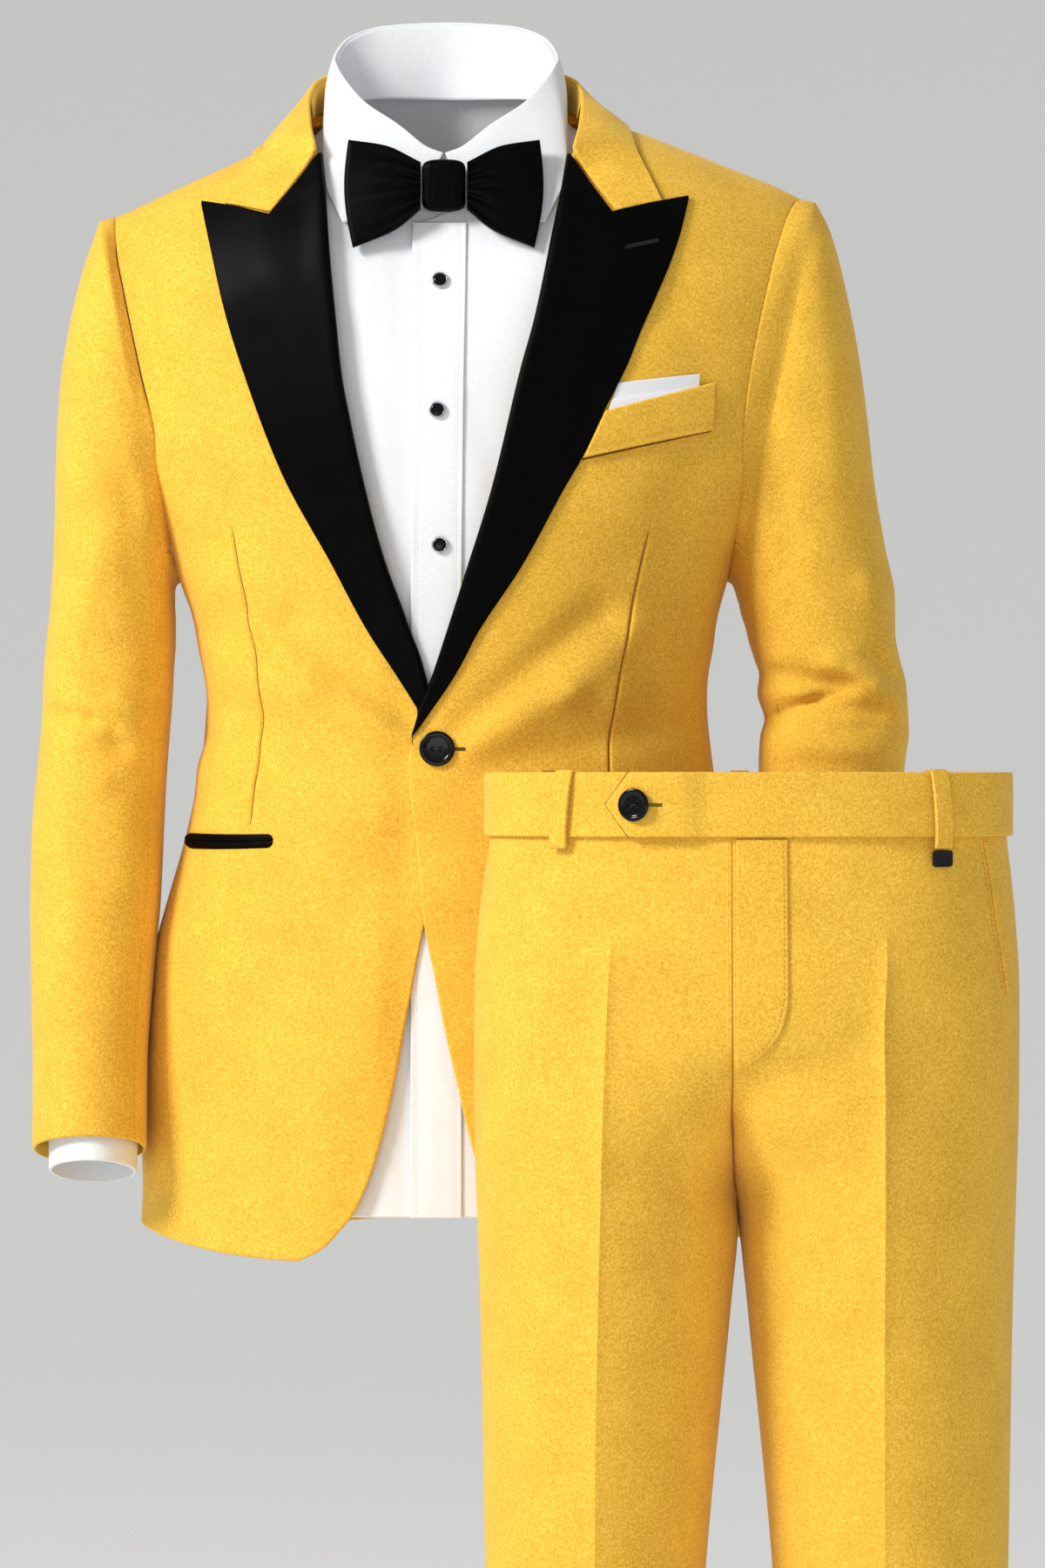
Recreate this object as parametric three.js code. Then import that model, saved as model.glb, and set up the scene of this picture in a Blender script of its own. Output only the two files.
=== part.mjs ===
// A tuxedo as it hangs on a wearer who isn't there: a single-button jacket with satin peak lapels over a
// dress shirt and bow tie, and the matching trousers standing in front of it.
// Millimetres, +Z up, the front faces -Y. The origin is at the height of the front neck, mid-depth.
// "Right" and "left" are the wearer's, so the right side has negative x.
import * as THREE from 'three';

// Driving sizes: cloth thicknesses, what lies between the layers, and the main levels
const WOOL = 2.0;
const SATIN_LIFT = 1.0;
const COTTON = 1.2;
const SEAM = 0.3;
const SHIRT_INSET = 8.6;
const SLEEVE_INSET = 13.5;
const ARMHOLE_EASE = 8.5;
const ARMHOLE_EASE_RINGS = 4;
const JACKET_MID_X = 8;
const TORSO_ROUNDNESS = 2.3;
const ARMPIT_Z = -310;
const SHIRT_ARMPIT_Z = -301;
const SHOULDER_CROWN = 110;
const CHEST_CROWN = 220;
const CROWN_BLEND = 125;
const TROUSER_MID_X = 197;
const TROUSER_MID_Y = -235.1;
const WAIST_TOP_Z = -442.5;
const WAIST_SEAM_Z = -483;
const CROTCH_Z = -735;
const LEG_HEM_Z = -1490;
const BUTTON_RADIUS = 11.8;
const STUD_RADIUS = 5.6;
const CUFF_WALL = 2.0;

const CLOTH = { color: 0xf0c141, roughness: 0.9, metalness: 0 };
const SATIN = { color: 0x0c0c0e, roughness: 0.35, metalness: 0 };
const LINEN = { color: 0xf4f4f4, roughness: 0.8, metalness: 0 };
const GLOSS = { color: 0x08080a, roughness: 0.12, metalness: 0 };
const STEEL = { color: 0x2a2a2c, roughness: 0.3, metalness: 0.9 };

const tuxedo = new THREE.Group();

// Tables with named columns, read smoothly along their first column
function table(columns, rows) {
  const named = rows.map((row) => Object.fromEntries(columns.map((name, k) => [name, row[k]])));
  return named.sort((a, b) => a[columns[0]] - b[columns[0]]);
}

function at(rows, place, column) {
  const key = Object.keys(rows[0])[0];
  const last = rows.length - 1;
  if (place <= rows[0][key]) return rows[0][column];
  if (place >= rows[last][key]) return rows[last][column];
  let k = 0;
  while (rows[k + 1][key] < place) k += 1;
  const slope = (i) => (rows[i + 1][column] - rows[i][column]) / (rows[i + 1][key] - rows[i][key]);
  const tangent = (i) => {
    if (i === 0 || i === last) return slope(Math.min(i, last - 1));
    const before = slope(i - 1);
    const after = slope(i);
    return before * after <= 0 ? 0 : (2 * before * after) / (before + after);
  };
  const step = rows[k + 1][key] - rows[k][key];
  const t = (place - rows[k][key]) / step;
  const rise = 3 * t * t - 2 * t * t * t;
  const lead = t * (1 - t) * (1 - t) * tangent(k);
  const trail = t * t * (1 - t) * tangent(k + 1);
  return rows[k][column] * (1 - rise) + rows[k + 1][column] * rise + step * (lead - trail);
}

const vector = (x, y, z) => new THREE.Vector3(x, y, z);
const mix = (a, b, t) => a + (b - a) * t;
const clamp = (value) => Math.min(Math.max(value, 0), 1);
const smooth = (value) => clamp(value) ** 2 * (3 - 2 * clamp(value));
const signedPower = (value, power) => Math.sign(value) * Math.abs(value) ** power;

// Walls: an outer grid of points, an inner grid, and rims round the open edges
function grid(rows, columns, point) {
  return Array.from({ length: rows + 1 }, (_, i) =>
    Array.from({ length: columns + 1 }, (_, j) => point(i, j)));
}

function ring(rows, columns, point) {
  return Array.from({ length: rows + 1 }, (_, i) => Array.from({ length: columns }, (_, j) => point(i, j)));
}

function normalsOf(points, closed, outward) {
  const rows = points.length;
  const columns = points[0].length;
  const column = (j) => (closed ? (j + columns) % columns : Math.min(Math.max(j, 0), columns - 1));
  const row = (i) => Math.min(Math.max(i, 0), rows - 1);
  let facing = 0;
  const normals = points.map((line, i) => line.map((point, j) => {
    const along = points[row(i + 1)][j].clone().sub(points[row(i - 1)][j]);
    const across = points[i][column(j + 1)].clone().sub(points[i][column(j - 1)]);
    const normal = across.cross(along).normalize();
    facing += normal.dot(outward(point));
    return normal;
  }));
  if (facing < 0) normals.forEach((line) => line.forEach((normal) => normal.negate()));
  return normals;
}

function moved(points, normals, distance) {
  const far = (i, j) => (typeof distance === 'function' ? distance(i, j) : distance);
  const shift = (point, i, j) => point.clone().addScaledVector(normals[i][j], far(i, j));
  return points.map((line, i) => line.map((point, j) => shift(point, i, j)));
}

function addMesh(name, geometry, finish, place) {
  const material = new THREE.MeshStandardMaterial({ ...finish, name: `${name}_finish` });
  const mesh = new THREE.Mesh(geometry, material);
  mesh.name = name;
  if (place) place(mesh);
  tuxedo.add(mesh);
  return mesh;
}

function signedVolume(positions, triangles) {
  let volume = 0;
  const corner = (k) => vector(positions[3 * k], positions[3 * k + 1], positions[3 * k + 2]);
  for (let t = 0; t < triangles.length; t += 3) {
    const [a, b, c] = [corner(triangles[t]), corner(triangles[t + 1]), corner(triangles[t + 2])];
    volume += a.dot(b.cross(c)) / 6;
  }
  return volume;
}

function addWall(name, outer, inner, finish, closed = false) {
  const rows = outer.length;
  const columns = outer[0].length;
  const positions = [];
  [outer, inner].flat(2).forEach((p) => positions.push(p.x, p.y, p.z));
  const layerSize = rows * columns;
  const index = (layer, i, j) => layer * layerSize + i * columns + (j % columns);
  const triangles = [];
  const quad = (a, b, c, d) => triangles.push(a, b, c, a, c, d);
  const spans = closed ? columns : columns - 1;
  for (let i = 0; i < rows - 1; i += 1) {
    for (let j = 0; j < spans; j += 1) {
      quad(index(0, i, j), index(0, i + 1, j), index(0, i + 1, j + 1), index(0, i, j + 1));
      quad(index(1, i, j), index(1, i, j + 1), index(1, i + 1, j + 1), index(1, i + 1, j));
    }
  }
  for (let j = 0; j < spans; j += 1) {
    quad(index(0, 0, j + 1), index(1, 0, j + 1), index(1, 0, j), index(0, 0, j));
    quad(index(0, rows - 1, j), index(1, rows - 1, j), index(1, rows - 1, j + 1), index(0, rows - 1, j + 1));
  }
  if (!closed) {
    for (let i = 0; i < rows - 1; i += 1) {
      quad(index(0, i, 0), index(1, i, 0), index(1, i + 1, 0), index(0, i + 1, 0));
      const end = columns - 1;
      quad(index(0, i + 1, end), index(1, i + 1, end), index(1, i, end), index(0, i, end));
    }
  }
  if (signedVolume(positions, triangles) < 0) triangles.reverse();
  const geometry = new THREE.BufferGeometry();
  geometry.setAttribute('position', new THREE.Float32BufferAttribute(positions, 3));
  geometry.setIndex(triangles);
  return addMesh(name, geometry, finish);
}

// The torso that the jacket is cut for: half-widths right and left of its middle, half-depths front and back
const TORSO = table(['z', 'right', 'left', 'front', 'back'], [
  [100, 262, 268, 98, 96],
  [0, 260, 266, 103, 100],
  [-60, 257, 263, 107, 104],
  [-106, 250, 256, 113, 109],
  [-150, 243, 248, 119, 112],
  [-209, 229, 232, 124, 114],
  [-260, 206, 208, 125, 112],
  [-290, 195, 192, 124, 109],
  [ARMPIT_Z, 189.5, 185.5, 123, 107],
  [-344, 178, 177, 120, 102],
  [-388, 173, 172, 118, 97],
  [-434, 176.5, 175.5, 118, 97],
  [-480, 185.5, 186, 119, 102],
  [-538, 201, 201, 122, 111],
  [-582, 208, 210, 124, 116],
  [-698, 215, 219, 128, 122],
  [-800, 220, 225, 131, 125],
]);

const SHOULDER = table(['x', 'front', 'back'], [
  [-250, -67, -67],
  [-228, -60, -60],
  [-181, -39, -39],
  [-126, -14, -14],
  [-95, 2, 4],
  [-80, 20, 24],
  [-60, 30, 44],
  [0, 36, 68],
  [60, 30, 44],
  [80, 20, 24],
  [95, 6, 7],
  [128, -1, -1],
  [163, -13.5, -13.5],
  [197, -27, -27],
  [225, -38, -38],
  [246, -48, -48],
  [268, -58, -58],
]);

// The back necklines, as heights above each place across the body
const NECK_HALF = 95;
const BACK_NECK = {
  jacket: table(['x', 'z'], [
    [-95, 4], [-86, 9], [-70, 15], [-40, 20], [0, 22], [40, 20], [70, 15], [86, 9], [95, 7],
  ]),
  shirt: table(['x', 'z'], [
    [-95, 4], [-88, 13], [-80, 23], [-70, 31], [-40, 37], [0, 38],
    [40, 37], [70, 31], [80, 23], [88, 14], [95, 7],
  ]),
};

const ARMHOLE = table(['z', 'right', 'left'], [
  [-40, -229, 247],
  [-60, -227.5, 235],
  [-92, -224, 224],
  [-110, -220, 219.5],
  [-150, -211, 210.5],
  [-183, -204, 205],
  [-212, -197, 202],
  [-251, -191, 199.5],
  [-286, -186, 196.5],
  [ARMPIT_Z, -181.5, 193.5],
]);

const SHOULDER_END = { right: -228, left: 246 };
const PLACING = { passes: 30, step: 0.35 };

function ridge(face, x) {
  return at(SHOULDER, x, face < 0 ? 'front' : 'back');
}

function crown(face, x) {
  if (face > 0) return SHOULDER_CROWN;
  return mix(CHEST_CROWN, SHOULDER_CROWN, smooth(Math.abs(x) / CROWN_BLEND));
}

// A point of the torso: face is -1 in front and 1 behind, turn runs from -90 to 90 degrees across the body
function torsoPoint(face, turn, z) {
  const side = turn < 0 ? 'right' : 'left';
  const x = JACKET_MID_X + at(TORSO, z, side) * Math.sin(turn);
  const behind = face * Math.sign(Math.cos(turn));
  const depth = at(TORSO, z, behind < 0 ? 'front' : 'back');
  const drop = clamp((ridge(face, x) - z) / crown(face, x));
  const rise = Math.sqrt(1 - (1 - drop) ** 2);
  return vector(x, behind * depth * Math.abs(Math.cos(turn)) ** (2 / TORSO_ROUNDNESS) * rise, z);
}

function turnOf(x, z) {
  const side = x < JACKET_MID_X ? 'right' : 'left';
  return Math.asin(Math.min(Math.max((x - JACKET_MID_X) / at(TORSO, z, side), -1), 1));
}

function torsoNormal(face, turn, z) {
  const x = torsoPoint(face, turn, z).x;
  if (ridge(face, x) - z < 0.5) {
    return vector(-(ridge(face, x + 2) - ridge(face, x - 2)) / 4, 0, 1).normalize();
  }
  const across = torsoPoint(face, turn + 0.02, z).sub(torsoPoint(face, turn - 0.02, z));
  const up = torsoPoint(face, turn, z + 0.4).sub(torsoPoint(face, turn, z - 0.4));
  const normal = across.cross(up).normalize();
  return normal.dot(vector(Math.sin(turn), face * Math.cos(turn), 0)) < 0 ? normal.negate() : normal;
}

// A point that lies on the jacket's front, moved out by a lift
function onFront(x, z, lift) {
  const turn = turnOf(x, z);
  return torsoPoint(-1, turn, z).addScaledVector(torsoNormal(-1, turn, z), lift);
}

// A point that rests on the shoulder at a place given from above
function restingOn(x, y, lift) {
  const face = y < 0 ? -1 : 1;
  let high = ridge(face, x);
  let low = high - crown(face, x);
  for (let pass = 0; pass < 20; pass += 1) {
    const middle = (high + low) / 2;
    if (Math.abs(torsoPoint(face, turnOf(x, middle), middle).y) < Math.abs(y)) high = middle;
    else low = middle;
  }
  const turn = turnOf(x, high);
  return torsoPoint(face, turn, high).addScaledVector(torsoNormal(face, turn, high), lift);
}

// The levels of the jacket's rows: measured down from the shoulder, then turning into level heights
const LEVELS = table(['row', 'below', 'level', 'share'], [
  [0, 0, 0, 0], [1, 5, 0, 0], [2, 18, 0, 0], [3, 38, 0, 0], [4, 62, 0, 0], [5, 90, 0, 0], [6, 120, 0, 0],
  [7, 155, -216, 0.2], [8, 195, -256, 0.5], [9, 230, -288, 0.8], [10, 0, ARMPIT_Z, 1],
  [11, 0, -345, 1], [12, 0, -388, 1], [13, 0, -432, 1], [14, 0, -485, 1], [15, 0, -545, 1], [16, 0, -610, 1],
  [17, 0, -680, 1], [18, 0, -730, 1],
]);
const ARMPIT_ROW = 10;
const HEM_ROW = 19;
const JACKET_ROWS = [...Array(HEM_ROW + 1).keys()];
const SHIRT_ROWS = [...Array(ARMPIT_ROW + 1).keys(), 12, 14, 16, HEM_ROW];
const JACKET_FRONT_COLUMNS = 10;
const BODY_COLUMNS = 7;

function rowHeight(row, top, hem, armpit) {
  if (row === HEM_ROW) return hem;
  const { below, level, share } = LEVELS[row];
  const z = mix(top - below, level, share);
  return row <= ARMPIT_ROW ? z + (armpit - ARMPIT_Z) * (row / ARMPIT_ROW) ** 4 : z;
}

const HEM = table(['x', 'z'], [
  [-210, -751], [-176, -760], [-134, -766], [-95, -768], [0, -764],
  [92, -768], [134, -766], [176, -760], [228, -751],
]);

// The front edges, from the neck down the roll line, past the button and round the cutaway to the hem
const FRONT_EDGE = {
  right: table(['z', 'x'], [
    [5, -93], [-24, -84], [-55, -80], [-94, -77], [-137, -72.5], [-178, -68], [-207, -62.5],
    [-253, -52.5], [-300, -40], [-343, -25], [-389, -9.7], [-412, 2], [-440, 9], [-485, 6], [-520, -4],
    [-545, -12.7], [-599, -23.6], [-666, -36.3], [-700, -45], [-725, -54.2], [-737, -60.6], [-750, -71],
    [-760, -81], [-768, -97],
  ]),
  left: table(['z', 'x'], [
    [8, 94], [-25, 84], [-51, 79.6], [-79, 74.3], [-115, 67.3], [-144, 61], [-171, 53], [-254, 33],
    [-312, 15], [-369, -3.3], [-405, -15.5], [-423, -21.4], [-433, -23.3], [-449, -22.8], [-475, -19.9],
    [-512, -16.1], [-545, -12.6], [-576, -6.2], [-615, 1.3], [-649, 9.2], [-683, 17], [-710, 25],
    [-735, 38], [-750, 52], [-761, 68], [-768, 92],
  ]),
};

// The right front passes under the left one, so it lies deeper near the button
const UNDERLAP = { depth: 3.6, startX: -46, span: 22 };

function underlap(side, x) {
  return side === 'right' ? -UNDERLAP.depth * smooth((x - UNDERLAP.startX) / UNDERLAP.span) : 0;
}

// One panel of the torso: side is right or left, face is -1 or 1, inset moves it in from the jacket's outside
function torsoPanel({ side, face, columns, inner, armpit, inset, hem, under, neck, rows }) {
  const sign = side === 'right' ? -1 : 1;
  const points = [];
  const normals = [];
  for (const row of rows) {
    const line = [];
    const lineNormals = [];
    for (let j = 0; j <= columns; j += 1) {
      const s = j / columns;
      let turn = sign * s;
      let z = 0;
      for (let pass = 0; pass < PLACING.passes; pass += 1) {
        const x = torsoPoint(face, turn, z).x;
        const top = neck && Math.abs(x) < NECK_HALF ? at(neck, x, 'z') : ridge(face, x);
        z = mix(z, rowHeight(row, top, hem(x), armpit), PLACING.step);
        const armholeZ = Math.max(z - (armpit - ARMPIT_Z), ARMPIT_Z);
        const seamX = row === 0 ? SHOULDER_END[side] : at(ARMHOLE, armholeZ, side);
        const end = row >= ARMPIT_ROW ? (sign * Math.PI) / 2 : turnOf(seamX, z);
        turn = mix(turnOf(inner(z), z), end, s);
      }
      const point = torsoPoint(face, turn, z);
      const normal = torsoNormal(face, turn, z);
      if (row === 0 || (j === columns && row >= ARMPIT_ROW)) point.y += (face * SEAM) / 2;
      const depth = -inset + (under ? under(point.x) : 0);
      line.push(point.addScaledVector(normal, depth));
      lineNormals.push(normal);
    }
    points.push(line);
    normals.push(lineNormals);
  }
  return { points, normals };
}

function addPanel(name, panel, wall, finish) {
  addWall(name, panel.points, moved(panel.points, panel.normals, -wall), finish);
}

const BACK_HEM = { z: -757, reach: 210 };
const hemOf = (x) => at(HEM, x, 'z');
const backHem = (x) => mix(BACK_HEM.z, hemOf(x), smooth(Math.abs(x - JACKET_MID_X) / BACK_HEM.reach));

const jacketPanels = {};
for (const side of ['right', 'left']) {
  const sign = side === 'right' ? -1 : 1;
  const front = torsoPanel({
    side,
    face: -1,
    columns: JACKET_FRONT_COLUMNS,
    rows: JACKET_ROWS,
    inner: (z) => at(FRONT_EDGE[side], z, 'x'),
    armpit: ARMPIT_Z,
    inset: 0,
    hem: hemOf,
    under: (x) => underlap(side, x),
  });
  const back = torsoPanel({
    side,
    face: 1,
    columns: BODY_COLUMNS,
    rows: JACKET_ROWS,
    inner: () => JACKET_MID_X + (sign * SEAM) / 2,
    armpit: ARMPIT_Z,
    inset: 0,
    hem: backHem,
    neck: BACK_NECK.jacket,
  });
  jacketPanels[side] = { front, back };
  addPanel(`jacket_front_${side}`, front, WOOL, CLOTH);
  addPanel(`jacket_back_${side}`, back, WOOL, CLOTH);
}

// Sleeves: each ring spans from an outer to an inner point of the outline, with its own depth and pitch
const SLEEVE = {
  right: table(['ring', 'outerX', 'outerZ', 'innerX', 'innerZ', 'midY', 'depth', 'pitch'], [
    [1, -237, -64, -185.5, -313.5, 0, 65, 0],
    [2, -244, -80, -186.5, -318, 0, 67, 0],
    [3, -251, -102, -186.5, -323, 0, 68, 0],
    [4, -259, -136, -186.5, -329, 0, 68, 0],
    [5, -265, -176, -186, -336, 0, 68, 0],
    [6, -268, -226, -186, -344, 0, 67, 0],
    [7, -269, -276, -186, -354, -1, 65, 0],
    [8, -271.5, -325, -187, -370, -2, 63, 0],
    [9, -276, -370, -188, -392, -4, 61, 0],
    [10, -277, -402, -189.5, -413, -6, 60, 1],
    [11, -280, -440, -191.5, -444, -10, 58, 3],
    [12, -283, -480, -193, -482, -16, 56, 6],
    [13, -283.5, -525, -194.5, -527, -24, 54, 9],
    [14, -282, -580, -198.5, -580, -36, 51.5, 12],
    [15, -279.5, -640, -202, -640, -50, 49, 14],
    [16, -278.5, -698, -201.5, -696, -64, 46.5, 15],
  ]),
  left: table(['ring', 'outerX', 'outerZ', 'innerX', 'innerZ', 'midY', 'depth', 'pitch'], [
    [1, 253, -51, 197.5, -313, 0, 65, 0],
    [2, 262, -64, 199, -317, 0, 67, 0],
    [3, 269.5, -86, 200.5, -322, 0, 68, 0],
    [4, 277, -118, 202, -327, 0, 68, 0],
    [5, 284, -154, 203, -332, 0, 68, 0],
    [6, 290, -198, 204.5, -337, 0, 67, 0],
    [7, 295, -244, 206.5, -343, -1, 66, 0],
    [8, 302, -286, 208, -350, -2, 64, 0],
    [9, 309, -322, 210, -357, -3, 62, 0],
    [10, 309, -345, 212.5, -365, -4, 61, 0],
    [11, 312, -364, 215.5, -375, -5, 60, 0],
    [12, 316.5, -382, 214.3, -388, -6, 59, 1],
    [13, 317.5, -400, 219, -405, -8, 59, 1],
    [14, 318, -416, 216, -418, -10, 58, 2],
    [15, 315, -438, 215, -438, -12, 57, 3],
    [16, 313, -480, 218, -480, -18, 56, 6],
    [17, 313, -530, 223, -530, -27, 54, 9],
    [18, 314, -585, 229, -585, -38, 51.5, 12],
    [19, 314, -640, 234, -640, -50, 49, 14],
    [20, 314, -698, 238, -696, -64, 46.5, 15],
  ]),
};

// Folds across the sleeves, each from one point to another of the front view, raised or sunk
const SLEEVE_FOLDS = {
  right: table(['x0', 'z0', 'x1', 'z1', 'height', 'spread'], [
    [-235, -296, -269, -383, 3, 16],
    [-264, -404, -221, -424, -3.5, 9],
    [-223, -424, -202, -434, -2.5, 8],
  ]),
  left: table(['x0', 'z0', 'x1', 'z1', 'height', 'spread'], [
    [218, -409, 262, -388, -4, 9],
    [262, -370, 314, -401, 4.5, 9],
    [229, -376, 273, -383, -4, 7],
    [254, -397, 294, -401, -4, 7],
    [288, -316, 308, -362, 3, 10],
    [218, -424, 300, -428, 2.5, 9],
  ]),
};

const SLEEVE_ROUNDNESS = 0.92;
const FOLD_SHARPNESS = 1.6;

function foldHeight(folds, x, z) {
  return folds.reduce((sum, fold) => {
    const run = vector(fold.x1 - fold.x0, 0, fold.z1 - fold.z0);
    const from = vector(x - fold.x0, 0, z - fold.z0);
    const along = from.dot(run) / run.lengthSq();
    const off = from.sub(run.clone().multiplyScalar(clamp(along))).length();
    return sum + fold.height * Math.exp(-((off / fold.spread) ** 2));
  }, 0);
}

// The armhole's ring of points, over the shoulder down the front to the armpit and up the back
function armholeRing(front, back) {
  const last = (panel, row) => ({
    point: panel.points[row][panel.points[row].length - 1],
    normal: panel.normals[row][panel.normals[row].length - 1],
  });
  const rows = [...Array(ARMPIT_ROW + 1).keys()];
  const down = rows.map((row) => last(front, row));
  const up = rows.slice(1, -1).reverse().map((row) => last(back, row));
  const loop = [...down, ...up];
  [0, ARMPIT_ROW].forEach((k) => { loop[k] = { ...loop[k], point: loop[k].point.clone().setY(0) }; });
  return loop;
}

function sleeveAngles(side) {
  const rows = [...Array(ARMPIT_ROW + 1).keys()];
  const heights = rows.map((row) => jacketPanels[side].front.points[row].at(-1).z);
  const middle = (heights[0] + heights.at(-1)) / 2;
  const half = (heights[0] - heights.at(-1)) / 2;
  const down = heights.map((z) => Math.acos(Math.min(Math.max((z - middle) / half, -1), 1)));
  const up = down.slice(1, -1).reverse().map((angle) => 2 * Math.PI - angle);
  return [...down, ...up];
}

function sleeveRing(side, row, angle) {
  const outer = vector(row.outerX, row.midY, row.outerZ);
  const inner = vector(row.innerX, row.midY, row.innerZ);
  const centre = outer.clone().add(inner).multiplyScalar(0.5);
  const half = outer.clone().sub(inner).multiplyScalar(0.5);
  const pitch = THREE.MathUtils.degToRad(row.pitch);
  const forward = vector(0, -Math.cos(pitch), Math.sin(pitch)).multiplyScalar(row.depth);
  const point = centre.addScaledVector(half, signedPower(Math.cos(angle), SLEEVE_ROUNDNESS));
  point.addScaledVector(forward, signedPower(Math.sin(angle), SLEEVE_ROUNDNESS));
  const facing = clamp(Math.sin(angle) * FOLD_SHARPNESS);
  const height = foldHeight(SLEEVE_FOLDS[side], point.x, point.z) * facing;
  return point.addScaledVector(forward.normalize(), height);
}

// Near the armhole the sleeve's wall turns to face the way the body's wall does
const SEAM_TURN = { from: 0.1, span: 0.6 };

function sleeveNormals(side, points, loop) {
  const rows = SLEEVE[side];
  const normals = normalsOf(points, true, (p) => {
    const away = (row) => Math.abs(row.innerZ - p.z);
    const near = rows.reduce((best, row) => (away(row) < away(best) ? row : best));
    return vector(p.x - (near.outerX + near.innerX) / 2, p.y - near.midY, 0);
  });
  normals[0] = normals[0].map((normal, j) => {
    const share = smooth((normal.dot(loop[j].normal) + SEAM_TURN.from) / SEAM_TURN.span);
    return normal.multiplyScalar(1 - share).addScaledVector(loop[j].normal, share).normalize();
  });
  return normals;
}

// The sleeve's first ring, a seam's width from the armhole towards the next ring
function awayFrom(loop, next) {
  return loop.map(({ point }, j) => {
    const away = next[j].clone().sub(point).normalize();
    return point.clone().addScaledVector(away, 2 * SEAM);
  });
}

function sleeve(side) {
  const loop = armholeRing(jacketPanels[side].front, jacketPanels[side].back);
  const angles = sleeveAngles(side);
  const rings = SLEEVE[side].map((row) => angles.map((angle) => sleeveRing(side, row, angle)));
  const points = [awayFrom(loop, rings[0]), ...rings];
  return { points, normals: sleeveNormals(side, points, loop) };
}

const sleeves = { right: sleeve('right'), left: sleeve('left') };
for (const side of ['right', 'left']) {
  const { points, normals } = sleeves[side];
  addWall(`jacket_sleeve_${side}`, points, moved(points, normals, -WOOL), CLOTH, true);
}

// Lapels: from the roll line to the outer edge, with the gorge, the notch and the peak along the top
const LAPEL = {
  right: {
    top: [[-84.5, -25], [-101, -46.5], [-117.9, -67.9], [-141, -63], [-164.3, -58.3]],
    edge: table(['z', 'x'], [
      [-58.3, -164.3], [-95, -155.5], [-126, -148.3], [-152, -141], [-179, -132], [-220, -117], [-250, -104],
      [-302, -75], [-346, -51.5], [-369, -37], [-400, -17.5],
    ]),
    roll: table(['z', 'x'], [
      [-25, -84.5], [-55, -81.5], [-94, -78.5], [-137, -74], [-178, -69.5], [-207, -64], [-253, -54],
      [-300, -41.5], [-343, -26.5], [-380, -15], [-397, -14.6],
    ]),
    bottom: -397,
    edgeBottom: -400,
  },
  left: {
    top: [[84.5, -26], [99, -46], [113.5, -67.1], [139, -62], [164.4, -56.6]],
    edge: table(['z', 'x'], [
      [-56.6, 164.4], [-80, 158.6], [-100, 152], [-124, 142], [-148, 131.5], [-170, 122.8], [-201, 107.3],
      [-233, 92.2], [-253, 80.6], [-304, 52.8], [-351, 22.1], [-369, 12.9], [-402, -6.8], [-419, -19],
    ]),
    roll: table(['z', 'x'], [
      [-26, 85], [-51, 81], [-79, 75.5], [-115, 68.5], [-144, 62], [-171, 54.5], [-254, 34.5], [-312, 16.5],
      [-369, -1.8], [-405, -14], [-417, -19.2],
    ]),
    bottom: -417,
    edgeBottom: -419,
  },
};

const LAPEL_ROWS = 16;
const LAPEL_TOP_BLEND = 4;
const LAPEL_CROWDING = 1.15;
const ROLL = { height: 4.5, start: 0.12, span: 0.8 };

// The roll stands off the front most in the middle of its length and closes up at the ends
function rollLift(down) {
  return ROLL.height * Math.sin(Math.PI * clamp(ROLL.start + down * ROLL.span));
}

function lapelGrid(side) {
  const { top, edge, roll, bottom, edgeBottom } = LAPEL[side];
  const columns = top.length - 1;
  return grid(LAPEL_ROWS, columns, (i, j) => {
    const across = j / columns;
    const down = i / LAPEL_ROWS;
    const rollZ = mix(top[0][1], bottom, down ** LAPEL_CROWDING);
    const edgeZ = mix(top[columns][1], edgeBottom, down ** LAPEL_CROWDING);
    const corner = clamp(1 - i / LAPEL_TOP_BLEND);
    const bentX = top[j][0] - mix(top[0][0], top[columns][0], across);
    const bentZ = top[j][1] - mix(top[0][1], top[columns][1], across);
    const x = mix(at(roll, rollZ, 'x'), at(edge, edgeZ, 'x'), across) + bentX * corner;
    const z = mix(rollZ, edgeZ, across) + bentZ * corner;
    return { x, z, lift: SATIN_LIFT + underlap(side, x) + rollLift(down) * (1 - across) ** 2 };
  });
}

function addOnFront(name, spots, wall, finish) {
  const inner = spots.map((line) => line.map(({ x, z, lift }) => onFront(x, z, lift)));
  const outer = spots.map((line) => line.map(({ x, z, lift }) => onFront(x, z, lift + wall)));
  addWall(name, outer, inner, finish);
}

addOnFront('lapel_right', lapelGrid('right'), WOOL, SATIN);
addOnFront('lapel_left', lapelGrid('left'), WOOL, SATIN);

// The jacket's collar: the fall from its notch end up over the neck, and the stand inside it.
// Each row gives the fold or gorge, then the outer edge of the fall, then the foot of the stand.
const COLLAR = table([
  'station', 'foldX', 'foldY', 'foldZ', 'edgeX', 'edgeY', 'edgeZ', 'footX', 'footY', 'footZ',
], [
  [0, 117.4, null, -65.9, 146.5, null, -58.6, 0, 0, 0],
  [1, 106, null, -51.0, 140, null, -44, 0, 0, 0],
  [2, 95, null, -36.4, 134, null, -31, 0, 0, 0],
  [3, 89, -78, -20, 129.5, null, -20, 0, 0, 0],
  [4, 93, -52, 1, 126.5, -30, null, 0, 0, 0],
  [5, 95, -22, 19, 123, -6, null, 90.5, -24, 5],
  [6, 92.5, 12, 34, 115, 24, null, 91, 9, 11],
  [7, 82, 44, 44, 98, 53, 6, 84, 34, 15],
  [8, 58, 70, 50, 68, 77, 12, 64, 57, 20],
  [9, 30, 84, 53, 35, 90, 16, 34, 71, 23],
  [10, 0, 88, 54, 0, 94, 17, 0, 76, 24.5],
]);
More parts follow.
